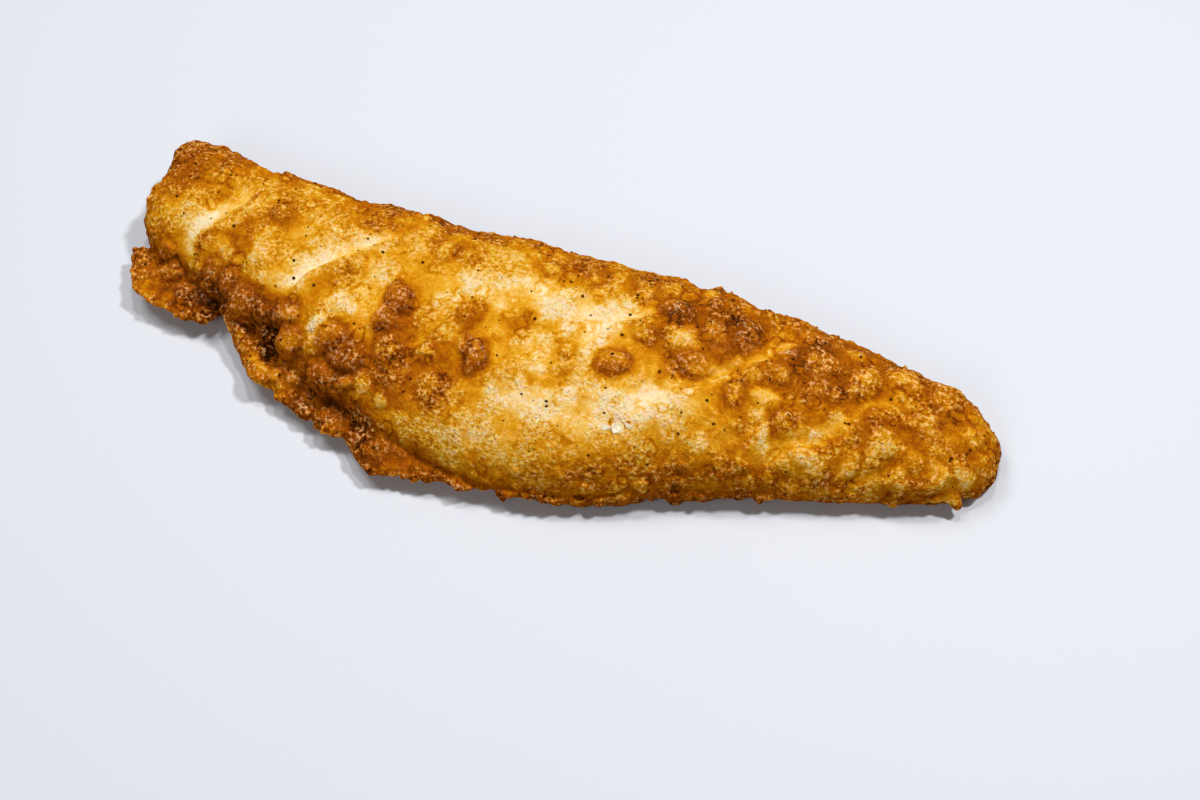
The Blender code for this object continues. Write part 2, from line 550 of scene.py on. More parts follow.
@dataclass(frozen=True)
class FilletForm:
    """The fillet's plain crowned shape, before folds and blisters."""

    length: float
    straight_side: Profile = Profile((
        (-120, 38.5), (-108, 39.4), (-99, 39.6), (-94, 37.4), (-84, 37), (-70, 36.5), (-56, 36),
        (-47, 36.4), (-41, 37.8), (-34, 36.4), (-26, 36.8), (-18, 37.8), (-2, 38.6), (12, 38.4), (27, 39.4),
        (34, 38.2), (41, 38.4), (50, 37.2), (60, 37), (76, 36.2), (86, 34.6), (92, 33.4), (100, 31.4),
        (108, 29.8), (114, 27.2), (120, 24),
    ))
    rolled_side: Profile = Profile((
        (-120, 10.5), (-112, 4), (-106, 1.2), (-98, -1), (-88, -5), (-80, -9), (-74, -12), (-60, -19),
        (-44, -25), (-27, -30), (-8, -32.3), (10, -31), (26, -26.5), (44, -19), (64, -12.5), (80, -8),
        (92, -4), (100, -1.4), (110, 2.4), (120, 7),
    ))
    crown: Profile = Profile((
        (-120, 17), (-104, 19.5), (-80, 21), (-40, 23.2), (10, 23.6), (50, 22.2), (80, 19), (104, 15.5),
        (120, 11),
    ))
    widest_share: float = 0.3
    rolled_roundness: float = 2.35
    straight_roundness: float = 2.9
    underside_roundness: float = 4.0
    underside_sink: float = 1.12
    blunt_end: tuple[float, float] = (26.0, 6.5)
    tail_end: tuple[float, float] = (21.0, 3.8)
    cut_back: Profile = Profile((
        (4, 0), (11, 0), (17, 0.8), (23, 2.4), (30, 1.8), (36, 1.2), (40, 1.6),
    ))
    rings_along: int = 290
    rings_in_end: int = 30
    points_over: int = 170
    points_under: int = 44

    def ring_places(self) -> tuple[np.ndarray, np.ndarray]:
        """Where each ring lies along X, and how much of the full section is left there.

        Returns:
            X in millimetres and the share of the section, from 0 to 1, for each ring.
        """
        quarter = np.linspace(0, math.pi / 2, self.rings_in_end + 1)[1:-1]
        (blunt, blunt_power), (tail, tail_power) = self.blunt_end, self.tail_end
        half = self.length / 2
        start = -half + blunt * (1 - np.sin(quarter[::-1]) ** (2 / blunt_power))
        middle = np.linspace(blunt - half, half - tail, self.rings_along)
        end = half - tail * (1 - np.sin(quarter) ** (2 / tail_power))
        left = np.concatenate((
            np.cos(quarter[::-1]) ** (2 / blunt_power), np.ones(self.rings_along),
            np.cos(quarter) ** (2 / tail_power),
        ))
        return np.concatenate((start, middle, end)), left

    def end_share(self, x: np.ndarray) -> np.ndarray:
        """How far into the blunt end x is, from 0 where it starts to 1 at its face."""
        return np.clip((self.blunt_end[0] - self.length / 2 - x) / self.blunt_end[0], 0.0, 1.0)

    def mesh(self) -> Mesh:
        """The closed loft.

        Returns:
            The body's mesh.
        """
        x, left = self.ring_places()
        over = np.linspace(0, math.pi, self.points_over, endpoint=False)
        under = np.linspace(math.pi, 2 * math.pi, self.points_under, endpoint=False)
        angle = np.concatenate((over, under))[None, :]
        curves = (self.rolled_side, self.straight_side, self.crown)
        near, far, crown = (curve.at(x)[:, None] for curve in curves)
        rest = left[:, None]
        roundness = np.where(np.cos(angle) < 0, self.straight_roundness, self.rolled_roundness)
        y = (near + far) / 2 - (far - near) / 2 * rest * signed_power(np.cos(angle), 2 / roundness)
        widest = crown * self.widest_share
        height = np.abs(np.sin(angle))
        top = widest + (crown - widest) * rest * height ** (2 / roundness)
        bottom = widest * (1 - self.underside_sink * rest * height ** (2 / self.underside_roundness))
        z = np.where(angle < math.pi, top, np.maximum(bottom, 0.0))
        shift = self.cut_back.at(y) * self.end_share(x)[:, None] ** 2
        grid = np.stack((x[:, None] + shift, y, z), axis=-1)
        return self._closed(grid)

    def _closed(self, grid: np.ndarray) -> Mesh:
        """Faces over a grid of rings, with a fan at each end.

        Args:
            grid: places in millimetres, by ring and by point in the ring.

        Returns:
            The closed mesh.
        """
        rings, around = grid.shape[:2]
        points = grid.reshape(-1, 3)
        faces = ring_faces(rings, around)
        tips = []
        for ring, end_x in ((0, -self.length / 2), (rings - 1, self.length / 2)):
            centre = grid[ring].mean(axis=0)
            tips.append((end_x, centre[1], centre[2]))
            tip = len(points) + len(tips) - 1
            base = ring * around
            for j in range(around):
                pair = (base + (j + 1) % around, base + j)
                faces.append((*pair, tip) if ring == 0 else (*reversed(pair), tip))
        mesh = mesh_of("body", np.vstack((points, tips)), faces)
        return upright(mesh)


@dataclass(frozen=True)
class Fold:
    """A step where two flakes of the fish meet under the batter: a valley, then a sharp rise."""

    start: tuple[float, float]
    end: tuple[float, float]
    depth: float
    width: float
    ridge: float
    paleness: float
    amber: float

    def reach(self, points: np.ndarray) -> tuple[np.ndarray, np.ndarray]:
        """How far each point lies across the fold, and how much of the fold is left beside it.

        Args:
            points: places, one row each, in millimetres.

        Returns:
            Millimetres across, and a share from 0 to 1.
        """
        line = np.subtract(self.end, self.start)
        length = float(np.hypot(*line))
        line = line / length
        away = points[:, :2] - self.start
        along = away @ line
        across = away[:, 0] * line[1] - away[:, 1] * line[0]
        past = np.maximum(np.maximum(-along, along - length), 0.0)
        return across, bell(past / (1.5 * self.width))

    def height(self, points: np.ndarray) -> np.ndarray:
        """How far the fold raises the skin at each point.

        Args:
            points: places, one row each, in millimetres.

        Returns:
            Millimetres, below 0 in the valley.
        """
        across, left = self.reach(points)
        slope = np.where(across < 0, 1.25 * self.width, 0.5 * self.width)
        valley = -self.depth * bell(across / slope)
        away = across - 1.1 * self.width
        ridge = self.ridge * bell(away / np.where(away < 0, 0.5 * self.width, 1.6 * self.width))
        return left * (valley + ridge)

    def tone(self, points: np.ndarray) -> np.ndarray:
        """How much browner the fold makes each point: paler in the valley, browner on the rise.

        Args:
            points: places, one row each, in millimetres.

        Returns:
            The change of tone at each point.
        """
        across, left = self.reach(points)
        away = across + 0.1 * self.width
        streak = -self.paleness * bell(away / np.where(away < 0, 1.3 * self.width, 0.6 * self.width))
        amber = self.amber * bell((across - 0.95 * self.width) / (0.5 * self.width))
        return left * (streak + amber)


FOLDS = tuple(Fold(*row) for row in (
    # each row: start, end, depth, width, ridge, paleness and amber
    ((-98, 5), (-90.5, 21), 1.1, 2.0, 0.9, 0.32, 0.16),
    ((-66.5, 2.5), (-47, 22), 1.2, 2.5, 1.0, 0.32, 0.14), ((-29, -6), (-19, 11), 0.6, 2.0, 0.5, 0.08, 0.1),
    ((-4, 15), (13, 33), 0.8, 2.4, 0.7, 0.1, 0.08), ((12, 8), (36, 31), 0.9, 2.4, 0.9, 0.16, 0.14),
    ((33, -2.5), (63, 27), 1.0, 3.3, 0.8, 0.27, 0.06), ((67.5, -4.5), (80, 7), 0.9, 2.0, 0.8, 0.18, 0.12),
    ((-19, -18), (-2, -2), 0.5, 1.8, 0.4, 0.02, 0.12), ((84, -8), (104, 6), 0.6, 2.0, 0.7, 0.06, 0.1),
    ((52, -10), (62, 0), 0.5, 1.8, 0.4, 0.08, 0.08),
))


@dataclass(frozen=True)
class Blister:
    """A bubble of steam blown up in the batter, browner on its flank than the skin round it."""

    x: float
    y: float
    radius: float
    height: float
    flank: float
    crown: float
    flat_below: float = 0.42
    softness: float = 1.1
    dome_spread: float = 1.155
    dome_fineness: int = 4
    shiny_from: float = 0.8
    shiny_over: float = 0.6
    seen_from: float = 100.0

    @property
    def flat(self) -> bool:
        """Whether the skin only swells here, with no ball standing out of it."""
        return self.height < self.flat_below * self.radius

    def away(self, spot: np.ndarray) -> np.ndarray:
        """How many radii each wandered point lies from the middle."""
        return np.hypot(spot[:, 0] - self.x, spot[:, 1] - self.y) / self.radius

    def swelling(self, spot: np.ndarray) -> np.ndarray:
        """How far a flat blister raises the skin at each wandered point, or sinks it for a pit."""
        return self.height * np.clip(1 - self.away(spot) ** 2, 0.0, 1.0) ** self.softness

    def sheen(self, spot: np.ndarray) -> np.ndarray:
        """How thin and shiny the blister's top is at each wandered point; the crust paints it paler, partly
        as a painted sheen highlight.
        """
        shine = min(max((self.height - self.shiny_from) / self.shiny_over, 0.0), 1.0)
        return shine * step(self.away(spot), 0.85, 0.2)

    def tone(self, spot: np.ndarray) -> tuple[np.ndarray, np.ndarray]:
        """How much browner the blister makes each wandered point, and how far it covers it.

        Args:
            spot: wandered places in millimetres.

        Returns:
            The change of tone at each place, and the cover from 0 to 1.
        """
        away = self.away(spot)
        inside = step(away, 1.2, 0.84)
        # the crown's tone is mostly paler than the flank's: partly thinner skin, partly a painted highlight
        # where light falls on the top
        crown = step(away, 0.9, 0.3)
        halo = 0.07 * bell((away - 1.15) / 0.32)
        return (self.flank + (self.crown - self.flank) * crown) * inside + halo, inside

    def dome(self, ground: BVHTree) -> tuple[np.ndarray, list[tuple[int, ...]]] | None:
        """Points and faces of the uneven dome, sunk in the skin below it.

        Args:
            ground: the skin, in millimetres, that the blister stands on.

        Returns:
            The dome, or None where there is no skin under it.
        """
        place, normal, _, _ = ground.ray_cast(Vector((self.x, self.y, self.seen_from)), DOWN)
        if place is None:
            return None
        ball = bmesh.new()
        bmesh.ops.create_icosphere(ball, subdivisions=self.dome_fineness, radius=1.0)
        points = np.array([v.co for v in ball.verts])
        faces = [tuple(v.index for v in f.verts) for f in ball.faces]
        ball.free()
        seed = self.x + 0.37 * self.y
        uneven = 1 + 0.2 * noise_at(points, 0.9, seed) + 0.1 * noise_at(points, 0.35, seed + 9)
        wide = self.dome_spread * self.radius
        points = points * uneven[:, None] * (wide, wide, 2 * self.height)
        turn = np.array(normal.to_track_quat("Z", "Y").to_matrix())
        placed = points @ turn.T + np.array(place) - self.height * np.array(normal)
        return placed - (wandered(placed) - placed) * (1, 1, 0), faces


BLISTERS = tuple(Blister(*place, flank / 100, crown / 100) for *place, flank, crown in (
    # each row: x, y, radius, height, then flank and crown in hundredths of the tone
    # the two-lobed dark blister, and the dark one in the middle
    (-38.2, 4, 4.8, 2.7, 46, 32), (-38.6, -3.4, 4.3, 2.1, 42, 28), (-13, -5.8, 4.6, 2.5, 46, 34),
    (-16.3, -3.2, 2.7, 1.5, 30, 26), (19.8, 1.8, 3.9, 2, 38, 22),
    # flat orange discs of the pale middle
    (-17.8, 4, 4.4, 0.79, 22, 26), (-6.3, 6.5, 3.8, 0.65, 16, 22), (8.6, 2.6, 2.6, 0.58, 20, 14),
    (4.6, 8.4, 3, 0.36, 8, 0), (13, 15.5, 2, 0.36, 12, 6), (19.6, 14, 1.9, 0.36, 12, 4),
    (13.3, -11.7, 2.8, 0.43, 8, -2), (-1.1, -10.9, 3.2, 0.43, 12, 0), (9, -3, 3, 0.43, 12, 10),
    # brown cluster behind the long fold
    (31, 24.4, 4.4, 2, 36, 18), (34.2, 15.6, 5.4, 1.5, 24, 5), (51.6, 24, 5, 2.2, 28, 20),
    (42.5, 28, 4.6, 1.37, 26, 20), (39, 9.2, 4.2, 1.9, 32, 18), (36, 7, 3.4, 1.5, 24, 12),
    (42.6, 19.5, 4.4, 0.94, 20, 4), (37.5, 33, 4.2, 1.15, 22, 14), (25.5, 12.5, 3.2, 0.79, 20, 12),
    (36, 3, 4, 0.86, 22, 12), (52.4, 5.4, 3.4, 1.2, 30, 12), (47, 15, 3.6, 0.94, 20, 10),
    # far side, toward the blunt end
    (-26, 22.5, 4.2, 0.79, 12, 6), (-33.5, 22, 3.8, 0.72, 10, 2), (-4.5, 23, 3.6, 0.79, 16, 10),
    (6, 29, 4.4, 0.94, 14, 10), (20, 27, 4.4, 0.94, 16, 12), (-55, 10, 3.8, 0.43, 5, -2),
    (-91, 5, 3.9, 0.58, 10, -2), (-86.5, 9.5, 3.2, 0.58, 12, 8), (-79, 6, 4.4, 0.58, 10, -2),
    (-77.5, 19, 3.6, 0.86, 14, 10), (-70, 13, 4, 0.43, 5, -2),
    # dark mass over the rolled side, toward the blunt end
    (-104.5, -1, 3.6, 1.8, 20, 6), (-97.4, -5, 4.2, 1.9, 30, 20), (-91.3, -2.6, 4, 1.8, 30, 14),
    (-84.6, -2.4, 4.4, 1.9, 36, 24), (-77.6, -6.4, 4.4, 1.9, 34, 20), (-72.6, -7.8, 3.4, 1.5, 36, 26),
    (-66.6, -7.6, 4.1, 1.75, 22, 8), (-61, -14.8, 4.2, 2, 32, 22), (-50.6, -12.4, 3.6, 1.6, 32, 20),
    (-45.4, -14.2, 4.6, 2, 34, 22), (-50.2, -20.8, 4.4, 1.9, 36, 26), (-56.4, -9.8, 3, 1.1, 2, -6),
    (-45, -22.5, 3.8, 1.8, 20, 8), (-58.5, -21, 3.9, 1.8, 18, 8), (-40, -20, 4.1, 1.5, 16, 4),
    (-64, -21, 3.4, 1.7, 16, 6), (-55, -27, 3.6, 1.4, 24, 14), (-69.5, -19, 3, 1.6, 16, 6),
    (-47, -28, 3.6, 1.2, 24, 14), (-39, -31, 3.8, 1.2, 24, 12), (-31, -33, 3.4, 1.6, 12, 2),
    (-35, -12, 4.4, 1.08, 16, 0), (-30, -18, 4.6, 1.01, 12, -4), (-20, -17.5, 4, 1.15, 20, 12),
    (-26, -10, 3.8, 0.86, 12, 0), (-34.5, -22, 3.4, 0.86, 14, 0), (-47, -9.5, 3.2, 0.86, 14, 4),
    # broad low domes of the tail end
    (67, 1.2, 4, 1.3, 26, 12), (65.4, 29.5, 4, 1.3, 20, 14), (69.4, 20.6, 5.4, 1.9, 26, 10),
    (69.6, 15.4, 4.4, 1.3, 18, -2), (60.8, 22.6, 3.3, 1.4, 24, 12), (81.4, 20.4, 6.4, 1.9, 22, 12),
    (59, 15, 4, 1.1, 14, 8), (91.4, 5, 5.8, 1.5, 16, 3), (89.6, 10.8, 3.8, 1.1, 16, 10),
    (99, 15.5, 5.4, 1.1, 14, 6), (78.5, 7, 4.4, 0.8, 8, -2), (75, 14, 3.2, 0.9, 14, 4),
    (90.5, 25.5, 5, 1.1, 14, 12), (102, 25.5, 6.2, 1.5, 20, 14), (111.5, 19, 3.8, 1, 10, 2),
    (111, 8, 4.4, 1, 10, 4), (103.5, 4, 4.2, 1.2, 12, 4), (59.8, 5.8, 3.2, 0.6, -4, -14),
    (-50.4, -3.7, 2.1, 0.5, -10, -28), (63.5, -2.8, 2.8, 0.5, -6, -14), (74, -3.5, 4, 0.8, 8, 0),
    (84, -1, 4.2, 0.9, 10, 2), (54.5, -3, 2.6, 0.6, 14, 12), (55, 11, 3.4, 0.7, 10, 6),
    (77, 28, 3.6, 1, 10, 4), (96, -2.5, 3.4, 1.1, 8, 0), (-113.5, 34.5, 5.5, 1.9, 6, -6),
    # the pit beside the dark mass, and the tear in the pale side; the deep pits are darkened with painted
    # shade
    (-68, -13.6, 2.8, -2.6, 50, 60), (27.4, -12.4, 2.6, -0.7, -10, -20), (25.4, -12.8, 1.3, -2, 40, 50),
    (30.6, -11.4, 1.1, -1.4, 36, 40),
))


@dataclass(frozen=True)
class RimLobe:
    """One tongue of thin batter that set as it ran off the rolled side."""

    centre: float
    half_length: float
    reach: float
    curl: float = 0.0


@dataclass(frozen=True)
class BatterRim:
    """The ragged rim of batter along the rolled side."""

    form: FilletForm
    lobes: tuple[RimLobe, ...] = tuple(RimLobe(*row) for row in (
        (-101, 14, 12, 1.5), (-111, 6, 5.6, 1.5), (-70, 9, 9, 0.8), (-58, 11, 8.2, 0.5),
        (-46, 10, 7.5, 0.5), (-33, 12, 9.6, 0.5), (-22, 9, 5.6), (-10, 10, 3), (12, 13, 1.6), (31, 6, 1.4),
        (48, 6, 1), (63, 9, 0.8), (84, 9, 0.3), (101, 8, 0.4),
    ))
    starts: float = -114.5
    ends: float = 112.0
    blunt_turn: float = 64.0
    tail_turn: float = 20.0
    least_reach: float = -2.0
    off_floor: float = 0.8
    root_inside: float = 7.0
    root_height: float = 6.5
    root_thickness: float = 6.5
    skirt: Profile = Profile((
        (-114, 0), (-108, 0.3), (-100, 0.6), (-90, 0.5), (-83, 0.2), (-76, 0.3), (-68, 0.55), (-58, 0.85),
        (-24, 1), (-6, 0), (112, 0),
    ))
    skirt_rise: float = 9.5
    skirt_inside: float = 7.5
    tip_thickness: float = 2.8
    sections: int = 420
    points_out: int = 16

    def reach_at(self, x: np.ndarray) -> tuple[np.ndarray, np.ndarray]:
        """How far the rim stands out of the body at x, and how much its tip curls up.

        Args:
            x: places along the fillet, in millimetres.

        Returns:
            The reach and the curl, both in millimetres.
        """
        reach, curl = np.zeros_like(x), np.zeros_like(x)
        for lobe in self.lobes:
            left = np.clip(1 - ((x - lobe.centre) / lobe.half_length) ** 2, 0.0, 1.0)
            reach = np.maximum(reach, lobe.reach * left ** 0.6)
            curl = np.maximum(curl, lobe.curl * left)
        line = np.stack((x, 0 * x, 0 * x), axis=1)
        ragged = lumps_at(line, (1.5, 6.0, 3.7), (1.1, 2.1, 8.2))
        return np.maximum(reach + ragged, self.least_reach), curl

    def mesh(self) -> Mesh:
        """A closed, wavy strip with its root inside the body.

        Returns:
            The rim's mesh.
        """
        x = np.linspace(self.starts, self.ends, self.sections)
        near = self.form.rolled_side.at(x)
        reach, curl = self.reach_at(x)
        turn = math.radians(self.blunt_turn) * step(x, -98, -114)
        turn = turn - math.radians(self.tail_turn) * step(x, 100, 114)
        skirt = self.skirt.at(x)
        out = np.stack((-np.sin(turn), -np.cos(turn), 0 * x), axis=1)
        u = np.linspace(0, 1, self.points_out)[None, :]
        inside = self.root_inside + self.skirt_inside * skirt
        far_out = inside + reach
        base = np.stack((x, near, 0 * x), axis=1)
        spot = base[:, None, :] + out[:, None, :] * (u * far_out[:, None] - inside[:, None])[:, :, None]
        flat = spot.reshape(-1, 3)
        wave = lumps_at(flat, (0.9, 7.0, 1.3), (0.4, 3.0, 5.1)).reshape(len(x), -1)
        sag = 2.0 * np.sin(math.pi * u) * step(reach, 2.0, 4.0)[:, None]
        lift = self.root_height - sag + curl[:, None] * u ** 2 - 0.8 * u + wave
        hang = skirt[:, None]
        lift = lift + self.skirt_rise * hang * (1 - 1.1 * u) - 0.5 * hang * bell((u - 0.66) / 0.08)
        thickness = self.root_thickness + (self.tip_thickness - self.root_thickness) * u
        half = thickness / 2 * np.sqrt(np.clip(1.02 - u ** 8, 0, 1))
        upper, lower = spot.copy(), spot.copy()
        upper[:, :, 2] = lift + half
        lower[:, :, 2] = np.maximum(lift - half, self.off_floor)
        return tube_of("rim", np.concatenate((upper, lower[:, ::-1]), axis=1))


@dataclass(frozen=True)
class Drip:
    """A string or a drop of batter that set where it hung."""

    stops: tuple[tuple[float, float, float, float], ...]
    steps: int = 30
    around: int = 12

    def mesh(self) -> Mesh:
        """A closed tube through the stops, each a place and a radius.

        Returns:
            The drip's mesh.
        """
        stops = np.array(self.stops, dtype=float)
        share = np.linspace(0, len(stops) - 1, self.steps)
        x, y, z, radius = (np.interp(share, np.arange(len(stops)), column) for column in stops.T)
        line = np.stack((x, y, z), axis=1)
        ahead = np.gradient(line, axis=0)
        side = np.cross(ahead, (0.0, 0.0, 1.0))
        side = side / np.linalg.norm(side, axis=1)[:, None]
        above = np.cross(side, ahead)
        above = above / np.linalg.norm(above, axis=1)[:, None]
        turn = np.linspace(0, math.tau, self.around, endpoint=False)[None, :, None]
        out = side[:, None] * np.cos(turn) + above[:, None] * np.sin(turn)
        ring = line[:, None] + radius[:, None, None] * out
        return tube_of("drip", ring)


DRIPS = tuple(Drip(stops) for stops in (
    # a string across the gap beside the flap
    ((-86, -7, 9, 1.2), (-82.6, -11, 8, 0.7), (-79.8, -14, 7, 0.6), (-77, -17, 6, 0.7), (-74, -19, 5, 1.3)),
    # the film between the string and the body
    ((-85.4, -4.5, 9.5, 2.4), (-81.8, -8.6, 8.6, 2.4), (-78.4, -12, 7.6, 2.2), (-75, -15.6, 6.4, 2.2)),
    # crumbs that hang from the rolled side
    ((108, 4.6, 6.6, 2.6), (111, 3.2, 5.2, 2.0), (112.6, 2, 4, 1.3), (113.2, 1.4, 3.2, 0.8)),
    ((95, 0, 6.5, 2.2), (96.6, -2.6, 5, 1.7), (97.2, -3.8, 4, 0.9)),
    ((61, -9.6, 7, 2.4), (64, -12, 4.8, 1.6), (65.4, -13.6, 3.4, 0.8)),
    ((1, -29, 5, 2.4), (2.6, -32.6, 3.8, 1.4), (3.4, -34.2, 3, 0.6)),
))


# ---------------------------------------------------------------- browning

@dataclass(frozen=True)
class Patch:
    """A soft area of the crust that fried browner, or paler where change is below 0."""

    x: float
    y: float
    half_x: float
    half_y: float
    change: float
    turn: float = 0.0

    def tone(self, points: np.ndarray) -> np.ndarray:
        """How much browner each point is.

        Args:
            points: places, one row each, in millimetres.

        Returns:
            The change of tone at each point.
        """
        angle = math.radians(self.turn)
        away_x, away_y = points[:, 0] - self.x, points[:, 1] - self.y
        along = (away_x * math.cos(angle) + away_y * math.sin(angle)) / self.half_x
        across = (away_y * math.cos(angle) - away_x * math.sin(angle)) / self.half_y
        return self.change * np.exp(-(along ** 2 + across ** 2) ** 1.8)


PATCHES = tuple(Patch(x, y, wide, deep, change / 100, *turn) for x, y, wide, deep, change, *turn in (
    # each row: x, y, half_x, half_y, change in hundredths of the tone and, where it has one, turn
    # small browner and paler places all over the skin
    (-111, 25, 7, 6, 20), (-92, 31, 9, 5, 6), (-92, 10, 6, 5, -10), (-70, 8, 6, 6, 6), (-30, 3, 6, 6, 14),
    (-30, -11, 8, 5, 12), (70, 8, 5, 5, 5), (90, 6, 6, 5, 6), (71, -4, 8, 4, -12), (91, 1, 10, 4, -20, 20),
    (110, 8, 8, 4, -14, 20), (91, 16, 6, 5, -6), (32, -19, 10, 3, 10, 20), (50, -14, 10, 3, 10, 22),
    (-90, -4, 7, 3, 10), (32, 22, 8, 6, 8), (70, -10, 12, 3, -10, 18), (100, -3, 16, 3, -14, 18),
    (-110, 14, 8, 6, 8), (-108, 5, 7, 4, 14), (-52, 25, 8, 5, 12), (-24, -24, 8, 4, 12),
    (-6, -25, 10, 4, -2), (8, -22, 9, 3.4, 6), (22, -23, 12, 3, 12, 18), (-38, -29.5, 11, 1.8, 26, -24),
    (-95, 26, 10, 10, 12), (-50, 36, 34, 4, 20), (-88, 37, 10, 4, 10), (-36, -6, 4, 5, 14),
    (-22, -6, 5, 4, 14), (-80, -4, 9, 4, 14), (17, 9, 5, 5, -14), (-22, 10, 6, 3, -10),
    (-48, -12, 8, 4, -10), (0, -18, 14, 3, -8), (-98, 22, 9, 7, 5), (-47, 26, 5, 5, 10),
    (-33, -3, 3, 5, 12), (-10, 20, 10, 3, 8), (-6, 3, 4, 3, 14), (-16, 2, 3, 2.5, 8), (-69, -5, 5, 4, 14),
    (15, 18, 4, 4, 7), (43, 18, 3, 5, 9), (61.5, 20.5, 4, 3.5, 22), (88, 8, 4, 2.6, 12), (96, 0, 5, 3, 10),
    (-15, -20, 5, 5, 10), (-78, 12, 9, 5, -7), (-59, 5, 5, 6, -10), (-15, 10, 7, 3, -8),
    (-24, 4, 2.5, 4, -8), (15.5, 5, 3, 5, -8), (5.5, -4, 4, 4, -12), (25, 25, 4, 4, -10), (33, 8, 5, 5, -7),
    (52, 4, 8, 5, -7), (74, 4, 5, 2, -12, 40), (102, 17, 4, 5, -8), (-40, -23, 7, 4, -10),
    (-62, -19, 9, 8, -16), (-72, -14, 6, 5, -10), (111, 12, 5, 16, -12), (-75, 25, 20, 5, 7),
    (-15, 22, 22, 4, 5), (-105, 32, 8, 5, 10), (13, 28, 5, 6, 10), (20, 32, 4, 5, 8), (68, 27, 5, 4, 10),
    (90, 32, 4, 4, 12), (97, 28, 4, 4, 8), (110, 10, 5, 3, 14), (-10, 9.5, 5, 3, -12),
    (-103, -3, 5, 4, -12), (18, 7, 3, 4, -8), (-43, -8, 4, 3, -12), (-66, -17, 6, 3, -8),
    (-60, -26, 8, 3, -10), (-46, -32, 7, 3, -14, -15), (-24, -3, 3.5, 4, 14), (-62, -12.5, 3, 3, 10),
    (-70, -7, 5, 3, 10), (-34, -18, 6, 3, 8), (70, 15, 4, 3, 12), (-5, 1.5, 3, 2, 8), (-50, 24, 12, 4, 6),
    (-95, 33, 15, 5, 7), (-65, 27, 18, 4, 6), (-5, -11, 12, 3, 6), (22, -13, 15, 3.5, 5),
    (-24, -35, 8, 4, 10), (87.5, 15.4, 4.5, 1.5, -12, 30), (111, 11, 4, 4, 10), (-99, 1.5, 4, 4, 12),
    (31, 26.4, 5, 4, 8), (50.5, 27.5, 5, 4, 8), (68, 26.5, 5, 3.5, 14), (90.5, 22.4, 4, 5, -5),
    (-109, 24.3, 5, 5, 10), (-9, 8, 4, 3, -10), (29, 12, 3, 3, 10), (48.3, 16.7, 5, 5, 16),
    (-71.5, 6, 5, 4, 6), (-30, -2, 4, 4, 14), (-8.6, -5, 2.5, 2.5, -10), (30, 1, 4, 3, 8),
    (109, 12.5, 4, 4, 6), (-90.5, 1.8, 4, 3, -12), (-29.5, -18, 4.5, 3, 24), (-31, -25.4, 4, 3, -12),
    (49, -11.6, 5, 3, -12), (70, -6, 6, 3, -8), (109, 3, 5, 3, -12), (40.5, 10.5, 3.5, 3.5, 10),
    (36, 1.5, 4, 3, 10), (16, -3, 6, 5, 5), (-6, -0.5, 3, 3, 8), (-57.5, -4.5, 3.5, 3, 12),
    (-35, -10.5, 4, 3, 10), (-8.5, -13, 5, 3, 8), (-8, -20.5, 6, 3, 7), (-40.5, -20, 3.5, 3, 10),
    (66, -3.5, 5, 2, 6), (-61, 22.5, 14, 3, 5), (-94.5, 17, 4, 5, 6), (-5.5, 17, 12, 2.5, 5),
    (21.5, 10, 2.5, 3, -12), (-58.5, -18, 4, 3, -10), (-87.5, -5, 4, 4, -10), (78.5, 1.5, 3.5, 3, -10),
    (86, 17, 3, 3, -6), (72, 17, 3, 3, -6), (53, -18, 4, 2, -10), (95.5, 29.5, 3, 3, -10),
    (-46.5, -30.5, 5, 2, -10), (-34, -36.5, 9, 3.5, 10), (-30.6, -31.4, 6, 2, -6), (-11, -31, 6, 3, -6),
    (89.4, -4.5, 8, 3, -10), (-51.4, 25.5, 6, 4, 6),
    # blunt end
    (-118, 36, 10, 8, 26), (-108, 24, 9, 6, 8, 30), (-103, 14, 8, 7, -6), (-84, 13, 9, 4.5, 22, 45),
    (-92, 6, 6, 5, 12), (-77, 19, 5, 5, 12), (-68, 5, 8, 8, -16, 40), (-98, 26, 10, 5, -3),
    # pale belly between the second fold and the brown cluster
    (-47, 10, 6, 7, -12, 40), (-48, -2, 7, 5, -16), (-57, 3, 4, 6.5, 20, -40), (-32, 26, 12, 8, 10),
    (-17, 15, 6, 4, -14), (-28, 2, 6, 7, -8), (2, 15.5, 13, 4.5, -30, -3), (16, 16, 7, 5, -24, 35),
    (10, 8, 9, 5, -14), (-3, 1, 9, 5, -14), (4, -15, 12, 4.5, -28, -6), (22, -10, 13, 6, -26, 12),
    (36, -3, 10, 4.5, -22, 28), (-57, -11, 4, 3.5, -12), (-24, 12, 10, 5, -4), (3, 27, 8, 5, 8),
    # bubbly brown ground over the rolled side
    (-36, -14, 12, 6, 10, -10), (-20, -14, 9, 6, 12), (-48, -17, 9, 7, 10), (-61, -16, 9, 6, 12, -30),
    (-57, -11, 2.6, 2, -10), (-52, -21, 8, 3, 10, -20), (-76, -9, 12, 4, 14, -8), (-94, -6, 11, 4.5, 16),
    # the strong browner place at (-70, -12) darkens the pit there with painted shade
    (-70, -12, 3.6, 2, 40), (-26, -22, 10, 4, 6), (-12, -24, 10, 4, -8),
    # brown cluster behind the long fold
    (30, 25, 6, 7, 12), (42, 24, 10, 8, 14), (52, 26, 6, 8, 14), (39, 9, 6, 5, 4), (29, 12, 6, 5, 8),
    (34, 16, 5, 4.5, -14), (21, 27, 7, 6, 12), (58, 21, 6, 3.5, -4, 48),
    # tail end
    (60, 4, 3.2, 4.2, -10), (62, -5, 3.2, 3.4, -12), (57, -3.5, 3, 3.6, 12), (51, 3.5, 4, 4.5, 14),
    (67, 26, 5, 6, 18), (63, 14, 4, 7, 14), (78, 11.5, 4, 3, 8), (84, 19.5, 6, 4.6, -6), (92, 6, 7, 5, -6),
    (72, 1, 4, 1.6, -16, 50), (85, 13, 5, 1.3, -14, 40), (103, 20, 7, 5, -6),
))


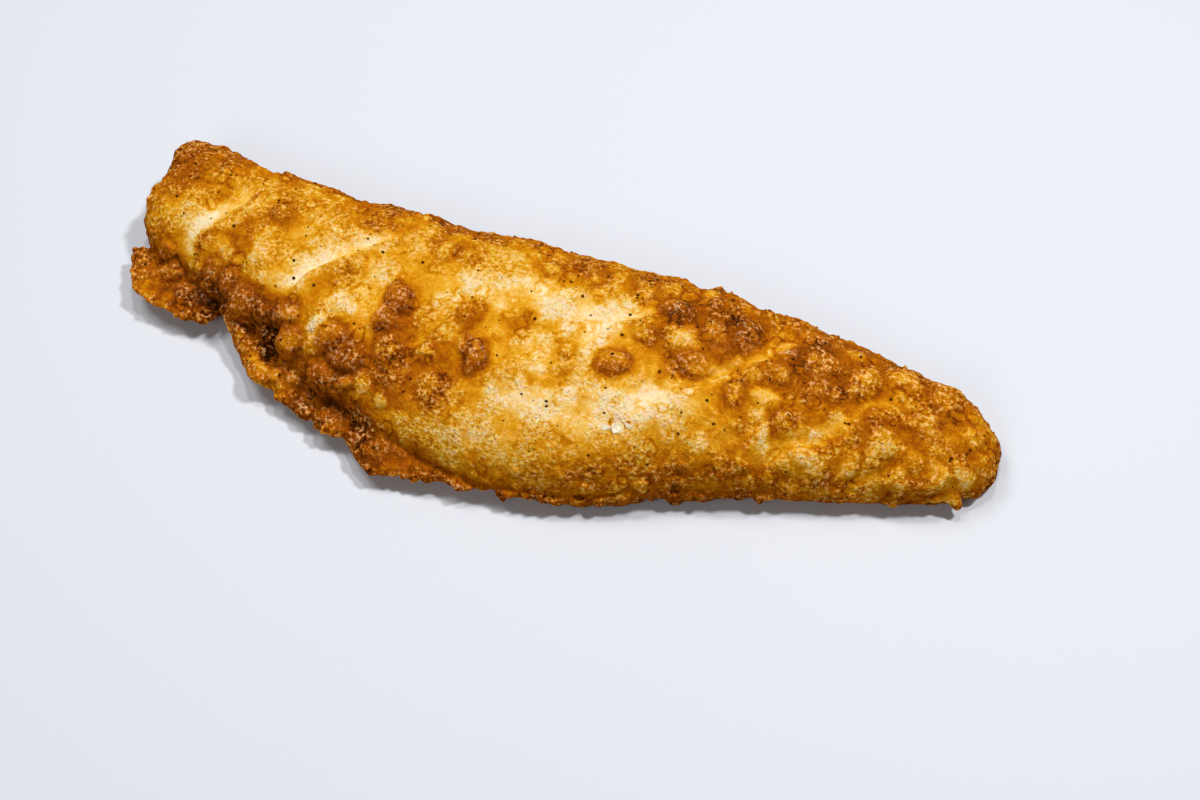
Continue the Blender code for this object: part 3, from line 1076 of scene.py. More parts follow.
@dataclass(frozen=True)
class Browning:
    """How dark each place of the crust is, from 0, cream, to 1, nearly black: how far it has browned, with
    painted shade down the sides and in the pits.
    """

    form: FilletForm
    along: Profile = Profile((
        (-120, 0.46), (-100, 0.35), (-60, 0.315), (0, 0.29), (40, 0.33), (64, 0.4), (90, 0.43), (120, 0.47),
    ))
    rolled_brown_and_shade: float = 0.2
    rolled_bottom_brown_and_shade: float = 0.36
    far_brown_and_shade: float = 0.29
    end_brown: float = 0.14
    underside: float = 0.6
    cell_swing: float = 0.12
    cell_edge: float = 0.06
    bubble_brown: float = 0.08
    hollow_brown: float = 0.045
    broad_brown: float = 0.04
    settles_at: float = 0.66
    settles_by: float = 0.4

    def ground(self, points: np.ndarray, normals: np.ndarray) -> np.ndarray:
        """The tone of the skin itself, without its blisters.

        Args:
            points: places, one row each, in millimetres.
            normals: the skin's outward directions there.

        Returns:
            The tone at each point.
        """
        spot = wandered(points)
        x, y, z = spot.T
        tone = self.along.at(x)
        for part in (*PATCHES, *FOLDS):
            tone = tone + part.tone(spot)
        # painted shade: the sides darken toward the floor, partly browning and partly shade where they turn
        # from the light
        drop = 1 - z / self.form.crown.at(x)
        near, far = self.form.rolled_side.at(x), self.form.straight_side.at(x)
        rolled = step(y, (near + far) / 2 + 4, (near + far) / 2 - 6)
        brown = self.rolled_brown_and_shade * step(drop, 0.18, 0.5) + self.rolled_bottom_brown_and_shade * step(drop, 0.55, 0.85)
        tone = tone + rolled * brown
        tone = tone + (1 - rolled) * self.far_brown_and_shade * (step(drop, 0.05, 0.26) + 0.5 * step(drop, 0.3, 0.8))
        ends = np.maximum(step(x, -112, -120), 0.8 * step(x, 108, 120))
        tone = tone + self.end_brown * ends
        under = step(normals[:, 2], -0.3, -0.8)
        return tone * (1 - under) + self.underside * under

    def whole(self, mesh: Mesh, proud: np.ndarray) -> np.ndarray:
        """The tone with everything on it.

        Args:
            mesh: the crust.
            proud: how far each point stands above the plain skin, in millimetres.

        Returns:
            The tone at each point.
        """
        points, normals = points_of(mesh), normals_of(mesh)
        tone = self.ground(points, normals)
        top = step(normals[:, 2], -0.3, 0.2)
        spot = wandered(points)
        covered = np.zeros(len(points))
        for blister in BLISTERS:
            change, inside = blister.tone(spot)
            tone = tone + change * top * (1 - 0.6 * covered)
            covered = np.maximum(covered, inside * top)
        froth = frothiness(points)
        for _, inside, chance in froth_cells(points):
            change = self.cell_swing * (chance - 0.5) + self.cell_edge * step(inside, 0.3, 0.0)
            tone = tone + (1 - 0.7 * covered) * froth * change
        tone = tone + (1 - covered) * self.bubble_brown * step(proud, 0.25, 1.0)
        tone = tone + self.hollow_brown * np.clip(hollow_of(mesh, 8) / 0.16, -0.8, 1.3)
        tone = tone + self.broad_brown * np.clip(hollow_of(mesh, 70) / 0.7, -1.0, 1.3) * top
        tone = tone + 0.06 * noise_at(points, 6.0, 2.2) + 0.08 * noise_at(points, 2.6, 6.1)
        settled = self.settles_at + self.settles_by * (tone - self.settles_at)
        tone = np.where(tone > self.settles_at, settled, tone)
        return np.clip(tone, *TONES)


FROTH = tuple(Patch(*row) for row in (
    # where the batter blew up into lumps of middling size, with how frothy it is as the change
    (-80, -10, 24, 6, 1, -8), (-52, -19, 16, 8, 1, -20), (-30, -16, 18, 8, 0.7), (94, 8, 34, 22, 0.62),
    (66, 12, 16, 26, 0.58), (40, 24, 20, 12, 0.9), (40, 8, 10, 7, 0.7), (10, 31, 30, 6, 0.6),
    (-40, 32, 40, 5, 0.5), (-118, 26, 5, 20, 0.5), (60, -12, 60, 4, 0.9, 20), (-104, -10, 14, 8, 0.9),
    (-100, 36, 20, 4, 0.6),
))

FROTH_CELLS = (
    # pitch, rise and seed of the lumps
    (9.5, 0.8, 1.0), (4.6, 0.35, 2.0),
)


def frothiness(points: np.ndarray) -> np.ndarray:
    """How frothy each point is in all, from 0 to 1."""
    return np.clip(np.max([area.tone(points) for area in FROTH], axis=0), 0.0, 1.0)


def froth_cells(points: np.ndarray) -> Iterator[tuple[float, np.ndarray, np.ndarray]]:
    """For each size of lump, its rise, how far inside its cell each point is, and the cell's chance."""
    for pitch, rise, seed in FROTH_CELLS:
        yield rise, *cobbled(drifted(points, 0.7 * pitch, 0.22 * pitch, seed), pitch, seed)


# ---------------------------------------------------------------- geometry trees

class Strewn(Enum):
    """What a scatter tree strews, each with the fineness of its ball."""

    BUBBLES = 3
    GRAINS = 1


def scatter_tree(strewn: Strewn) -> NodeTree:
    """A geometry tree that strews small balls over a skin, where its mask says.

    Args:
        strewn: bubbles keep apart and lie flattened on the skin. Grains are angular and slim, and
            each is turned by chance.

    Returns:
        The tree.
    """
    inputs = (
        ("Skin", "Geometry"), ("Mask", "String"), ("Spacing", "Float"), ("Crowding", "Float"),
        ("Smallest", "Float"), ("Largest", "Float"), ("Flatness", "Float"), ("Seed", "Int"),
        ("Material", "Material"),
    )
    tree = new_group(strewn.name.lower(), "GeometryNodeTree", inputs, (("Strewn", "Geometry"),))
    bench = Bench(tree)
    given = bench.add("NodeGroupInput").outputs
    skin, seed = given["Skin"], given["Seed"]
    mask = bench.out("GeometryNodeInputNamedAttribute", {"Name": given["Mask"]}, data_type="FLOAT")
    if strewn is Strewn.BUBBLES:
        spread = bench.add("GeometryNodeDistributePointsOnFaces", {
            "Mesh": skin, "Distance Min": given["Spacing"], "Density Max": given["Crowding"],
            "Density Factor": mask, "Seed": seed,
        }, distribute_method="POISSON")
        turn, size_seed = spread.outputs["Rotation"], seed
    else:
        crowding = bench.times(mask, given["Crowding"])
        spread = bench.add("GeometryNodeDistributePointsOnFaces", {
            "Mesh": skin, "Density": crowding, "Seed": seed,
        }, distribute_method="RANDOM")
        any_way = {"Min": (0.0,) * 3, "Max": (FULL_TURN,) * 3, "Seed": seed}
        turn = bench.out("FunctionNodeRandomValue", any_way, data_type="FLOAT_VECTOR")
        size_seed = bench.plus(seed, 5.0)
    any_size = {"Min": 0.0, "Max": 1.0, "Seed": size_seed}
    chance = bench.out("FunctionNodeRandomValue", any_size, data_type="FLOAT")
    rare = bench.math("POWER", chance, 2.0)
    size = bench.plus(given["Smallest"], bench.times(rare, bench.less(given["Largest"], given["Smallest"])))
    flat = bench.times(size, given["Flatness"])
    sizes = (size, size, flat) if strewn is Strewn.BUBBLES else (size, flat, size)
    scale = bench.out("ShaderNodeCombineXYZ", dict(zip("XYZ", sizes)))
    ball = bench.out("GeometryNodeMeshIcoSphere", {"Radius": 1.0, "Subdivisions": strewn.value})
    strewing = bench.out("GeometryNodeInstanceOnPoints", {
        "Points": spread.outputs["Points"], "Instance": ball, "Rotation": turn, "Scale": scale,
    })
    real = bench.out("GeometryNodeRealizeInstances", {"Geometry": strewing})
    dressed = bench.out("GeometryNodeSetMaterial", {"Geometry": real, "Material": given["Material"]})
    bench.add("NodeGroupOutput", {"Strewn": dressed})
    return tree


@dataclass(frozen=True)
class Strewing:
    """How thickly balls are strewn and how large they are, with lengths in millimetres."""

    mask: str
    crowding: float
    smallest: float
    largest: float
    flatness: float
    seed: int
    spacing: float = 0.0

    def over(self, skin: Mesh, tree: NodeTree, finish: Material) -> Mesh:
        """The balls that the tree strews over the skin.

        Args:
            skin: the mesh to strew over, with its mask on it.
            tree: what scatter_tree makes.
            finish: what the balls are made of.

        Returns:
            A new mesh of the balls alone.
        """
        values = {
            "Mask": self.mask, "Spacing": self.spacing * MM, "Crowding": self.crowding,
            "Smallest": self.smallest * MM, "Largest": self.largest * MM, "Flatness": self.flatness,
            "Seed": self.seed, "Material": finish,
        }

        def modify(worker: Object) -> None:
            """Puts the tree on the working object, with its inputs set first."""
            modifier = worker.modifiers.new("strewing", "NODES")
            modifier.node_group = tree
            for item in tree.interface.items_tree:
                if item.in_out == "INPUT" and item.name in values:
                    modifier[item.identifier] = values[item.name]

        return shaped(skin, modify)


# ---------------------------------------------------------------- finishes

class Fried(Enum):
    """Colours of batter as it browns, each with the tone that it stands at."""

    CREAM = (0.0, Tint(234, 212, 170))
    STRAW = (0.16, Tint(228, 184, 94))
    GOLD = (0.34, Tint(214, 152, 26))
    AMBER = (0.5, Tint(191, 119, 10))
    BROWN = (0.66, Tint(161, 85, 8))
    CHESTNUT = (0.82, Tint(114, 54, 8))
    CHAR = (1.0, Tint(44, 18, 4))


# pale flecks: partly thin bubble skins, partly painted glints of oil
FLECK_AND_GLINT = Tint(238, 190, 120)
# pale tops of thin blisters: partly their thin skin, partly a painted sheen highlight
THIN_TOP_AND_SHEEN = Tint(244, 194, 134)


def frying_group() -> NodeTree:
    """Shader group: the colour of batter at a tone, with the mottling that every fried piece shares.

    Returns:
        The group. It takes a tone, a place, the strength of the mottling, a grain and a sheen, and gives
        a colour, a height for the bump and a mask of the oil.
    """
    inputs = (
        ("Tone", "Float", 0.5), ("Place", "Vector"), ("Mottle", "Float", 1.0), ("Grain", "Float", 0.5),
        ("Sheen", "Float", 0.0),
    )
    outputs = (("Color", "Color"), ("Height", "Float"), ("Oil", "Float"))
    bench = Bench(new_group("frying", "ShaderNodeTree", inputs, outputs))
    plus, less, times, between = bench.plus, bench.less, bench.times, bench.between
    given = bench.add("NodeGroupInput").outputs
    place, grain, sheen = given["Place"], given["Grain"], given["Sheen"]

    def clouds(scale: float, detail: float, roughness: float) -> NodeSocket:
        """Noise about 0 at so many lumps a metre."""
        feeds = {"Vector": place, "Scale": scale, "Detail": detail, "Roughness": roughness}
        return less(bench.out("ShaderNodeTexNoise", feeds), 0.5)

    # mottling: clouds, a crinkle of pale lines, and darker speckle on the grain
    broad = clouds(scale=110.0, detail=3.0, roughness=0.5)
    middle = clouds(scale=450.0, detail=4.0, roughness=0.65)
    fine = clouds(scale=950.0, detail=3.0, roughness=0.65)
    wandering = plus(times(broad, 0.1), times(middle, 0.28))
    crinkle = between(bench.math("ABSOLUTE", clouds(scale=620.0, detail=1.0, roughness=0.5)), 0.05, 0.0)
    wandering = less(wandering, times(crinkle, 0.1))
    speckle = times(fine, plus(times(grain, -0.8), -0.24))
    # prints of burst bubbles, each a brown ring with a paler inside
    nudged = bench.nudged(place, scale=300.0, reach=6 * MM)
    prints = bench.add("ShaderNodeTexVoronoi", {"Vector": nudged, "Scale": 200.0}, feature="F1")
    chance = bench.out("ShaderNodeSeparateColor", {"Color": prints.outputs["Color"]})
    away = less(prints.outputs["Distance"], plus(times(chance, 0.3), 0.14))
    ring = between(bench.math("ABSOLUTE", away), 0.16, 0.02)
    inside = between(away, 0.0, -0.12)
    printed = less(times(ring, 0.15), times(inside, 0.07))
    wandering = plus(wandering, times(between(chance, 0.2, 0.8), printed))
    tone = plus(given["Tone"], times(plus(wandering, speckle), given["Mottle"]))
    # colour of the tone, with pale flecks in the grain, partly painted glints, and thin pale tops on the
    # domes, partly a painted sheen highlight
    ramp = bench.add("ShaderNodeValToRGB", {"Fac": tone})
    stops = ramp.color_ramp.elements
    for index, (at, tint) in enumerate(stop.value for stop in Fried):
        element = stops[index] if index < 2 else stops.new(at)
        element.position = at
        element.color = tint.linear
    cells = bench.out("ShaderNodeTexVoronoi", {"Vector": place, "Scale": 1000.0}, feature="F1")
    bubble = between(cells, 0.6, 0.05)
    # painted glints: pale flecks mixed into the colour where the grain is high
    fleck_and_glint = times(between(fine, 0.03, 0.15), between(grain, 0.35, 1.0))
    color = bench.mixed(times(fleck_and_glint, 0.5), ramp.outputs["Color"], FLECK_AND_GLINT.linear)
    # painted sheen highlight: pale tops mixed into the colour where the sheen mask is high
    thin = between(plus(times(middle, 0.2), fine), 0.02, 0.13)
    color = bench.mixed(times(times(thin, sheen), 0.6), color, THIN_TOP_AND_SHEEN.linear)
    # height for the bump, and where the oil lies
    rough = bench.math("MAXIMUM", grain, times(sheen, 0.7))
    domes = times(bubble, plus(times(rough, 0.9), 0.1))
    height = plus(domes, times(fine, plus(times(rough, 1.6), 0.3)))
    height = plus(height, times(middle, 1.6))
    oil = times(between(plus(middle, broad), -0.12, 0.14), between(given["Tone"], 0.3, 0.55))
    oil = bench.math("MAXIMUM", oil, sheen)
    bench.add("NodeGroupOutput", {"Color": color, "Height": height, "Oil": oil})
    return bench.tree


def new_material(name: str) -> tuple[Material, Bench, Node, NodeSocket]:
    """A material to be filled in, with its bench, its shader and the piece's own coordinates.

    Args:
        name: the material's name.

    Returns:
        The material, its bench, its shader and the coordinates.
    """
    material = bpy.data.materials.new(name)
    material.use_nodes = True
    bench = Bench(material.node_tree)
    shader = material.node_tree.nodes["Principled BSDF"]
    return material, bench, shader, bench.add("ShaderNodeTexCoord").outputs["Object"]


@dataclass(frozen=True)
class FriedFinish:
    """Oily fried batter."""

    name: str
    steady_tone: float | None = None
    steady_grain: float = 0.6
    roughness: float = 0.36
    roughness_swing: float = 0.4
    specular: float = 0.0
    glint: Tint = Tint(255, 184, 96)
    bump: float = 0.9
    depth: float = 0.4 * MM
    subsurface: float = 0.7
    subsurface_radius: tuple[float, float, float] = (1.0, 0.3, 0.05)
    subsurface_scale: float = 1.6 * MM

    def material(self, frying: NodeTree) -> Material:
        """The finish as a material.

        Args:
            frying: the shader group with the colour and the grain of fried batter.

        Returns:
            The material. It reads the piece's tone and grain, or its own steady ones.
        """
        material, bench, shader, place = new_material(self.name)
        group = bench.add("ShaderNodeGroup", node_tree=frying)
        if self.steady_tone is None:
            feeds = {
                label: bench.add("ShaderNodeAttribute", attribute_name=label.lower()).outputs["Fac"]
                for label in ("Tone", "Grain", "Sheen")
            }
        else:
            feeds = {"Tone": self.steady_tone, "Grain": self.steady_grain}
        bench.fill(group, {"Place": place, **feeds})
        swing = bench.times(group.outputs["Oil"], -self.roughness_swing)
        roughness = bench.plus(swing, self.roughness + self.roughness_swing / 2)
        feeds = {"Height": group.outputs["Height"], "Strength": self.bump, "Distance": self.depth}
        bench.fill(shader, {
            "Base Color": group.outputs["Color"], "Roughness": roughness,
            "Normal": bench.out("ShaderNodeBump", feeds), "Specular IOR Level": self.specular,
            "Specular Tint": self.glint.linear, "Subsurface Weight": self.subsurface,
            "Subsurface Radius": self.subsurface_radius, "Subsurface Scale": self.subsurface_scale,
        })
        return material


@dataclass(frozen=True)
class PlainFinish:
    """A small part's finish: two colours that noise mixes, with a grain."""

    name: str
    light: Tint
    dark: Tint
    scale: float
    roughness: float
    bump: float = 0.4
    depth: float = 0.2 * MM
    specular: float = 0.0
    subsurface: float = 0.0
    subsurface_radius: tuple[float, float, float] = (1.0, 0.6, 0.35)
    subsurface_scale: float = MM

    def material(self) -> Material:
        """The finish as a material.

        Returns:
            The material, which reads nothing of the piece but its coordinates.
        """
        material, bench, shader, place = new_material(self.name)
        clouds = bench.out("ShaderNodeTexNoise", {"Vector": place, "Scale": self.scale, "Detail": 4.0})
        ramp = bench.add("ShaderNodeValToRGB", {"Fac": bench.between(clouds, 0.35, 0.65)})
        ramp.color_ramp.elements[0].color = self.dark.linear
        ramp.color_ramp.elements[1].color = self.light.linear
        feeds = {"Height": clouds, "Strength": self.bump, "Distance": self.depth}
        bench.fill(shader, {
            "Base Color": ramp.outputs["Color"], "Normal": bench.out("ShaderNodeBump", feeds),
            "Roughness": self.roughness, "Specular IOR Level": self.specular,
            "Subsurface Weight": self.subsurface, "Subsurface Radius": self.subsurface_radius,
            "Subsurface Scale": self.subsurface_scale,
        })
        return material


# ---------------------------------------------------------------- crust

@dataclass
class Crust:
    """The fillet's whole crust, welded from its body, rim and bubbles."""

    form: FilletForm
    browning: Browning
    weld: float = 0.5 * MM
    most_triangles: int = 192000
    smoothing: float = 0.5
    smoothings: int = 3
    blotch_brown: float = 0.1
    blotch_pale: float = 0.04
    least_grain: float = 0.08
    small_sheen: float = 0.6
    bubbles: tuple[Strewing, ...] = (
        Strewing("frothy", 24000.0, 1.4, 3.4, 0.24, 3, spacing=6.5),
        Strewing("bubbly", 120000.0, 0.5, 1.7, 0.5, 11, spacing=2.2),
        Strewing("crumbly", 240000.0, 0.5, 1.5, 0.7, 23, spacing=1.7),
    )
    mesh: Mesh = field(init=False)
    plain: BVHTree = field(init=False)

    def build(self, finish: Material) -> Object:
        """Makes the crust and puts it in place of the plain solid.

        Args:
            finish: the fried batter.

        Returns:
            The finished piece.
        """
        body = self._folded_body()
        rim = BatterRim(self.form).mesh()
        self.plain = self.tree_of([body, rim])
        domes = self._placed_blisters()
        bubbles = self._small_bubbles(gathered("skins", [body, rim]), finish)
        drips = [drip.mesh() for drip in DRIPS]
        rough = gathered("rough_crust", [body, rim, *domes, *bubbles, *drips])
        self.mesh = self._thinned(self._roughened(self._welded(rough)))
        self._mark()
        piece = finished("crust", self.mesh, finish)
        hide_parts(NODE)
        return piece

    def _folded_body(self) -> Mesh:
        """The plain body with its folds and broad lumps.

        Returns:
            The body's mesh.
        """
        body = self.form.mesh()
        points, normals = points_of(body), normals_of(body)
        top = step(normals[:, 2], 0.0, 0.6)
        spot = wandered(points)
        height = sum(fold.height(spot) for fold in FOLDS)
        swellings = [blister.swelling(spot) for blister in BLISTERS if blister.flat]
        height = height + np.max(swellings, axis=0) + np.minimum(np.min(swellings, axis=0), 0)
        edge = step(points[:, 1] - self.form.straight_side.at(points[:, 0]), -10.0, -3.0)
        height = height + (0.9 + 0.7 * edge) * noise_at(points, 13.0, 4.4)
        height = height + (0.35 + 0.5 * edge) * noise_at(points, 6.0, 7.7)
        froth = frothiness(points)
        for rise, inside, chance in froth_cells(points):
            height = height + froth * rise * ((0.3 + 0.7 * chance) * step(inside, 0.0, 0.5) - 0.4)
        place_points(body, points + normals * (top * height)[:, None])
        return body

    @staticmethod
    def tree_of(meshes: Sequence[Mesh]) -> BVHTree:
        """Something to measure distances to the meshes with, in millimetres.

        Args:
            meshes: the meshes, all in place.

        Returns:
            A search tree of all their faces.
        """
        points, faces, start = [], [], 0
        for mesh in meshes:
            points.extend(points_of(mesh).tolist())
            faces.extend(tuple(v + start for v in face.vertices) for face in mesh.polygons)
            start = len(points)
        return BVHTree.FromPolygons(points, faces)

    def _placed_blisters(self) -> list[Mesh]:
        """A mesh for each blister that has its own place."""
        made = (blister.dome(self.plain) for blister in BLISTERS if not blister.flat)
        return [mesh_of("blister", *dome) for dome in made if dome]

    def _small_bubbles(self, skin: Mesh, finish: Material) -> list[Mesh]:
        """Bubbles strewn on the frothy and brown parts and on the rim, in three sizes.

        Args:
            skin: the body and the rim, which get the bubbles' masks.
            finish: the fried batter.

        Returns:
            A mesh for each size of bubble.
        """
        points, normals = points_of(skin), normals_of(skin)
        tone = self.browning.ground(points, normals)
        top = step(normals[:, 2], -0.5, 0.1) * step(points[:, 2], 1.5, 3.5)
        outside = self.form.rolled_side.at(points[:, 0]) - points[:, 1]
        rim = step(outside, -4.0, 1.0)
        froth = frothiness(points)
        clump = 0.5 + 0.5 * noise_at(points, 8.0, 1.9)
        fewer = 1 - 0.7 * step(points[:, 0], 46.0, 64.0)
        bubbly = 0.8 * froth * clump + 0.5 * step(tone, 0.45, 0.75) + 0.7 * rim + 0.04
        mark(skin, "frothy", np.clip(top * (froth + 0.15 * rim) * fewer, 0, 1))
        mark(skin, "bubbly", np.clip(top * bubbly, 0, 1))
        mark(skin, "crumbly", np.clip(top * step(outside, 0.5, 3.0), 0, 1))
        tree = scatter_tree(Strewn.BUBBLES)
        return [kind.over(skin, tree, finish) for kind in self.bubbles]

    def _welded(self, rough: Mesh) -> Mesh:
        """One closed skin over everything, a little smoothed.

        Args:
            rough: everything that the crust is made of, in one mesh.

        Returns:
            The welded mesh.
        """

        def modify(worker: Object) -> None:
            """Remeshes and smooths the working object."""
            remesh = worker.modifiers.new("weld", "REMESH")
            remesh.mode = "VOXEL"
            remesh.voxel_size = self.weld
            smooth = worker.modifiers.new("smooth", "SMOOTH")
            smooth.factor = self.smoothing
            smooth.iterations = self.smoothings

        return shaped(rough, modify)

    def _roughened(self, mesh: Mesh) -> Mesh:
        """The skin with the fine lumps of batter, stronger where it is browner.

        Args:
            mesh: the welded skin, which is changed.

        Returns:
            The same mesh.
        """
        points, normals = points_of(mesh), normals_of(mesh)
        rough = 0.4 + 0.6 * step(self.browning.ground(points, normals), 0.4, 0.7) + 0.3 * frothiness(points)
        height = lumps_at(points, (0.24, 4.0, 5.5), (0.26, 2.2, 9.9), (0.24, 1.3, 3.1))
        moved = points + normals * (rough * height * step(points[:, 2], 0.3, 1.5))[:, None]
        moved[:, 2] = np.maximum(moved[:, 2], 0.0)
        place_points(mesh, moved)
        return mesh

    def _thinned(self, mesh: Mesh) -> Mesh:
        """The skin with fewer triangles where it is smooth.

        Args:
            mesh: the roughened skin.

        Returns:
            A mesh with no more than most_triangles triangles.
        """
        mesh.calc_loop_triangles()
        share = self.most_triangles / max(len(mesh.loop_triangles), 1)
        LOG.info("welded crust: %d triangles", len(mesh.loop_triangles))
        if share >= 1:
            return mesh

        def modify(worker: Object) -> None:
            """Thins the working object."""
            worker.modifiers.new("thin", "DECIMATE").ratio = share

        return shaped(mesh, modify)

    def _mark(self) -> None:
        """Keeps the browning and the grain of the crust on its mesh."""
        proud = np.array([self._height_over_plain(row) for row in points_of(self.mesh).tolist()])
        tone = self.browning.whole(self.mesh, proud)
        points = points_of(self.mesh)
        proudness = np.clip(-hollow_of(self.mesh, 40) / 0.35, -1.0, 1.0)
        near = drifted(points, 3.0, 0.9, 6.0)
        lumps = 0.5 * proudness + 0.8 * noise_at(near, 8.0, 8.1) + 0.6 * noise_at(near, 3.6, 4.6)
        blotch = step(lumps, -0.2, 0.24)
        spot = wandered(points)
        standing = np.max([blister.tone(spot)[1] for blister in BLISTERS if not blister.flat], axis=0)
        streak = np.clip(-4 * sum(fold.tone(spot) for fold in FOLDS), 0, 1)
        blotch = blotch * (1 - 0.8 * standing)
        browner = self.blotch_brown * (1 - blotch) * step(tone, 0.8, 0.35) * (1 - streak)
        browner = browner - self.blotch_pale * blotch * step(tone, 0.55, 0.3)
        # painted sheen highlight: the thin tops of blisters and small bubbles get a pale top in their
        # colour
        tops = np.max([blister.sheen(spot) for blister in BLISTERS], axis=0)
        small = self.small_sheen * step(proud, 0.4, 1.2) * step(tone, 0.3, 0.5)
        mark(self.mesh, "sheen", np.maximum(tops, small) * step(normals_of(self.mesh)[:, 2], 0.3, 0.8))
        grain = self.least_grain + (1 - self.least_grain) * blotch * (1 - 0.6 * streak)
        mark(self.mesh, "grain", grain)
        mark(self.mesh, "tone", np.clip(tone + browner, *TONES))

    def _height_over_plain(self, place: Sequence[float]) -> float:
        """How far a place stands above the body and the rim, in millimetres."""
        nearest, normal, _, distance = self.plain.find_nearest(place)
        return distance if (Vector(place) - nearest).dot(normal) > 0 else -distance


# ---------------------------------------------------------------- on the crust

@dataclass(frozen=True)
class Flake:
    """A thin flake of white fish that lifts where the batter tore."""

    x: float
    y: float
    turn: float
    length: float
    width: float
    lift: float
    thickness: float = 0.4
    steps: int = 9
    seen_from: float = 60.0

    def mesh(self, skin: BVHTree) -> Mesh:
        """The flake as a thin closed shell that follows the skin and rises toward its tip.

        Args:
            skin: the crust under it, in millimetres.

        Returns:
            The flake's mesh.
        """
        shares, sides = np.linspace(0, 1, self.steps), np.linspace(-1, 1, self.steps)
        along, across = np.meshgrid(shares, sides, indexing="ij")
        angle = math.radians(self.turn)
        ahead = self.length * along * (1 - 0.12 * across ** 2)
        aside = 0.5 * self.width * across * np.sqrt(1 - 0.86 * along ** 3)
        x = self.x + ahead * math.cos(angle) - aside * math.sin(angle)
        y = self.y + ahead * math.sin(angle) + aside * math.cos(angle)
        places = (skin.ray_cast(Vector((u, v, self.seen_from)), DOWN)[0] for u, v in zip(x.flat, y.flat))
        z = np.array([place.z for place in places]).reshape(x.shape)
        flat = np.stack((x.ravel(), y.ravel(), 0 * x.ravel()), axis=1)
        uneven = 0.35 * noise_at(flat, 1.2, 2.9).reshape(x.shape)
        lifted = z + self.thickness / 2 + self.lift * along ** 1.6 * (1 - 0.3 * across ** 2) + uneven
        upper = np.stack((x, y, lifted), axis=2)
        lower = upper - (0, 0, self.thickness)
        return tube_of("flake", np.concatenate((upper, lower[:, ::-1]), axis=1))


@dataclass(frozen=True)
class TornPlace:
    """The small place where the batter tore and the white fish shows."""

    flakes: tuple[Flake, ...] = (
        Flake(27.4, -14.8, 132, 2.8, 2.3, 0.5), Flake(23.2, -14.8, 22, 2.6, 1.4, 0.05),
        Flake(30.2, -12.8, 160, 1.9, 1.1, 0.4),
    )

    def build(self, crust: Crust, finish: Material) -> Object:
        """Lays the flakes on the crust.

        Args:
            crust: the finished crust.
            finish: the white fish.

        Returns:
            The finished piece.
        """
        skin = Crust.tree_of([crust.mesh])
        flakes = gathered("flakes", [flake.mesh(skin) for flake in self.flakes])
        return finished("fish_flakes", flakes, finish)


@dataclass(frozen=True)
class Spot:
    """A soft round area where grains gather."""

    x: float
    y: float
    radius: float
    share: float = 1.0


@dataclass(frozen=True)
class Pepper:
    """Specks of ground pepper in the batter."""

    specks: Strewing = Strewing("pepper", 120000.0, 0.14, 0.6, 0.7, 41)
    even_share: float = 0.18
    spots: tuple[Spot, ...] = tuple(Spot(*row) for row in (
        (11, -15.5, 6), (21, -18, 2), (-108, 24, 3.5), (-66, 26, 7, 0.6), (-31, 8, 3, 0.6),
        (-3, -3, 7, 0.4), (7, 27, 8, 0.5), (-47, -2, 5, 0.5), (23, 15, 4, 0.5), (38, -5, 6, 0.4),
        (-24, -6, 6, 0.4), (56, -5, 4, 0.6), (49, 9, 3, 0.6),
    ))

    def build(self, crust: Crust, finish: Material) -> Object:
        """Scatters the specks over the top of the crust.

        Args:
            crust: the finished crust.
            finish: the ground pepper.

        Returns:
            The finished piece.
        """
        points, normals = points_of(crust.mesh), normals_of(crust.mesh)
        share = np.full(len(points), self.even_share)
        for spot in self.spots:
            away = np.hypot(points[:, 0] - spot.x, points[:, 1] - spot.y)
            share = np.maximum(share, spot.share * step(away, spot.radius, 0.3 * spot.radius))
        mark(crust.mesh, "pepper", share * step(normals[:, 2], 0.2, 0.6))
        specks = self.specks.over(crust.mesh, scatter_tree(Strewn.GRAINS), finish)
        return finished("pepper_specks", specks, finish)


@dataclass(frozen=True)
class Crumbs:
    """Loose-looking crumbs of batter that fried onto the browner crust."""

    crumbs: Strewing = Strewing("crumbs", 26000.0, 0.25, 0.75, 0.8, 67)

    def build(self, crust: Crust, finish: Material) -> Object:
        """Scatters the crumbs over the brown parts of the crust.

        Args:
            crust: the finished crust.
            finish: the crumbs' fried batter.

        Returns:
            The finished piece.
        """
        points, normals = points_of(crust.mesh), normals_of(crust.mesh)
        tone = crust.browning.ground(points, normals)
        share = step(tone, 0.5, 0.8) * step(normals[:, 2], -0.2, 0.2) * step(points[:, 2], 1.0, 3.0)
        mark(crust.mesh, "crumbs", share)
        crumbs = self.crumbs.over(crust.mesh, scatter_tree(Strewn.GRAINS), finish)
        return finished("batter_crumbs", crumbs, finish)


# ---------------------------------------------------------------- studio

@dataclass(frozen=True)
class Lamp:
    """A square soft lamp that points at the fillet."""

    name: str
    azimuth: float
    elevation: float
    away: float
    size: float
    watts: float


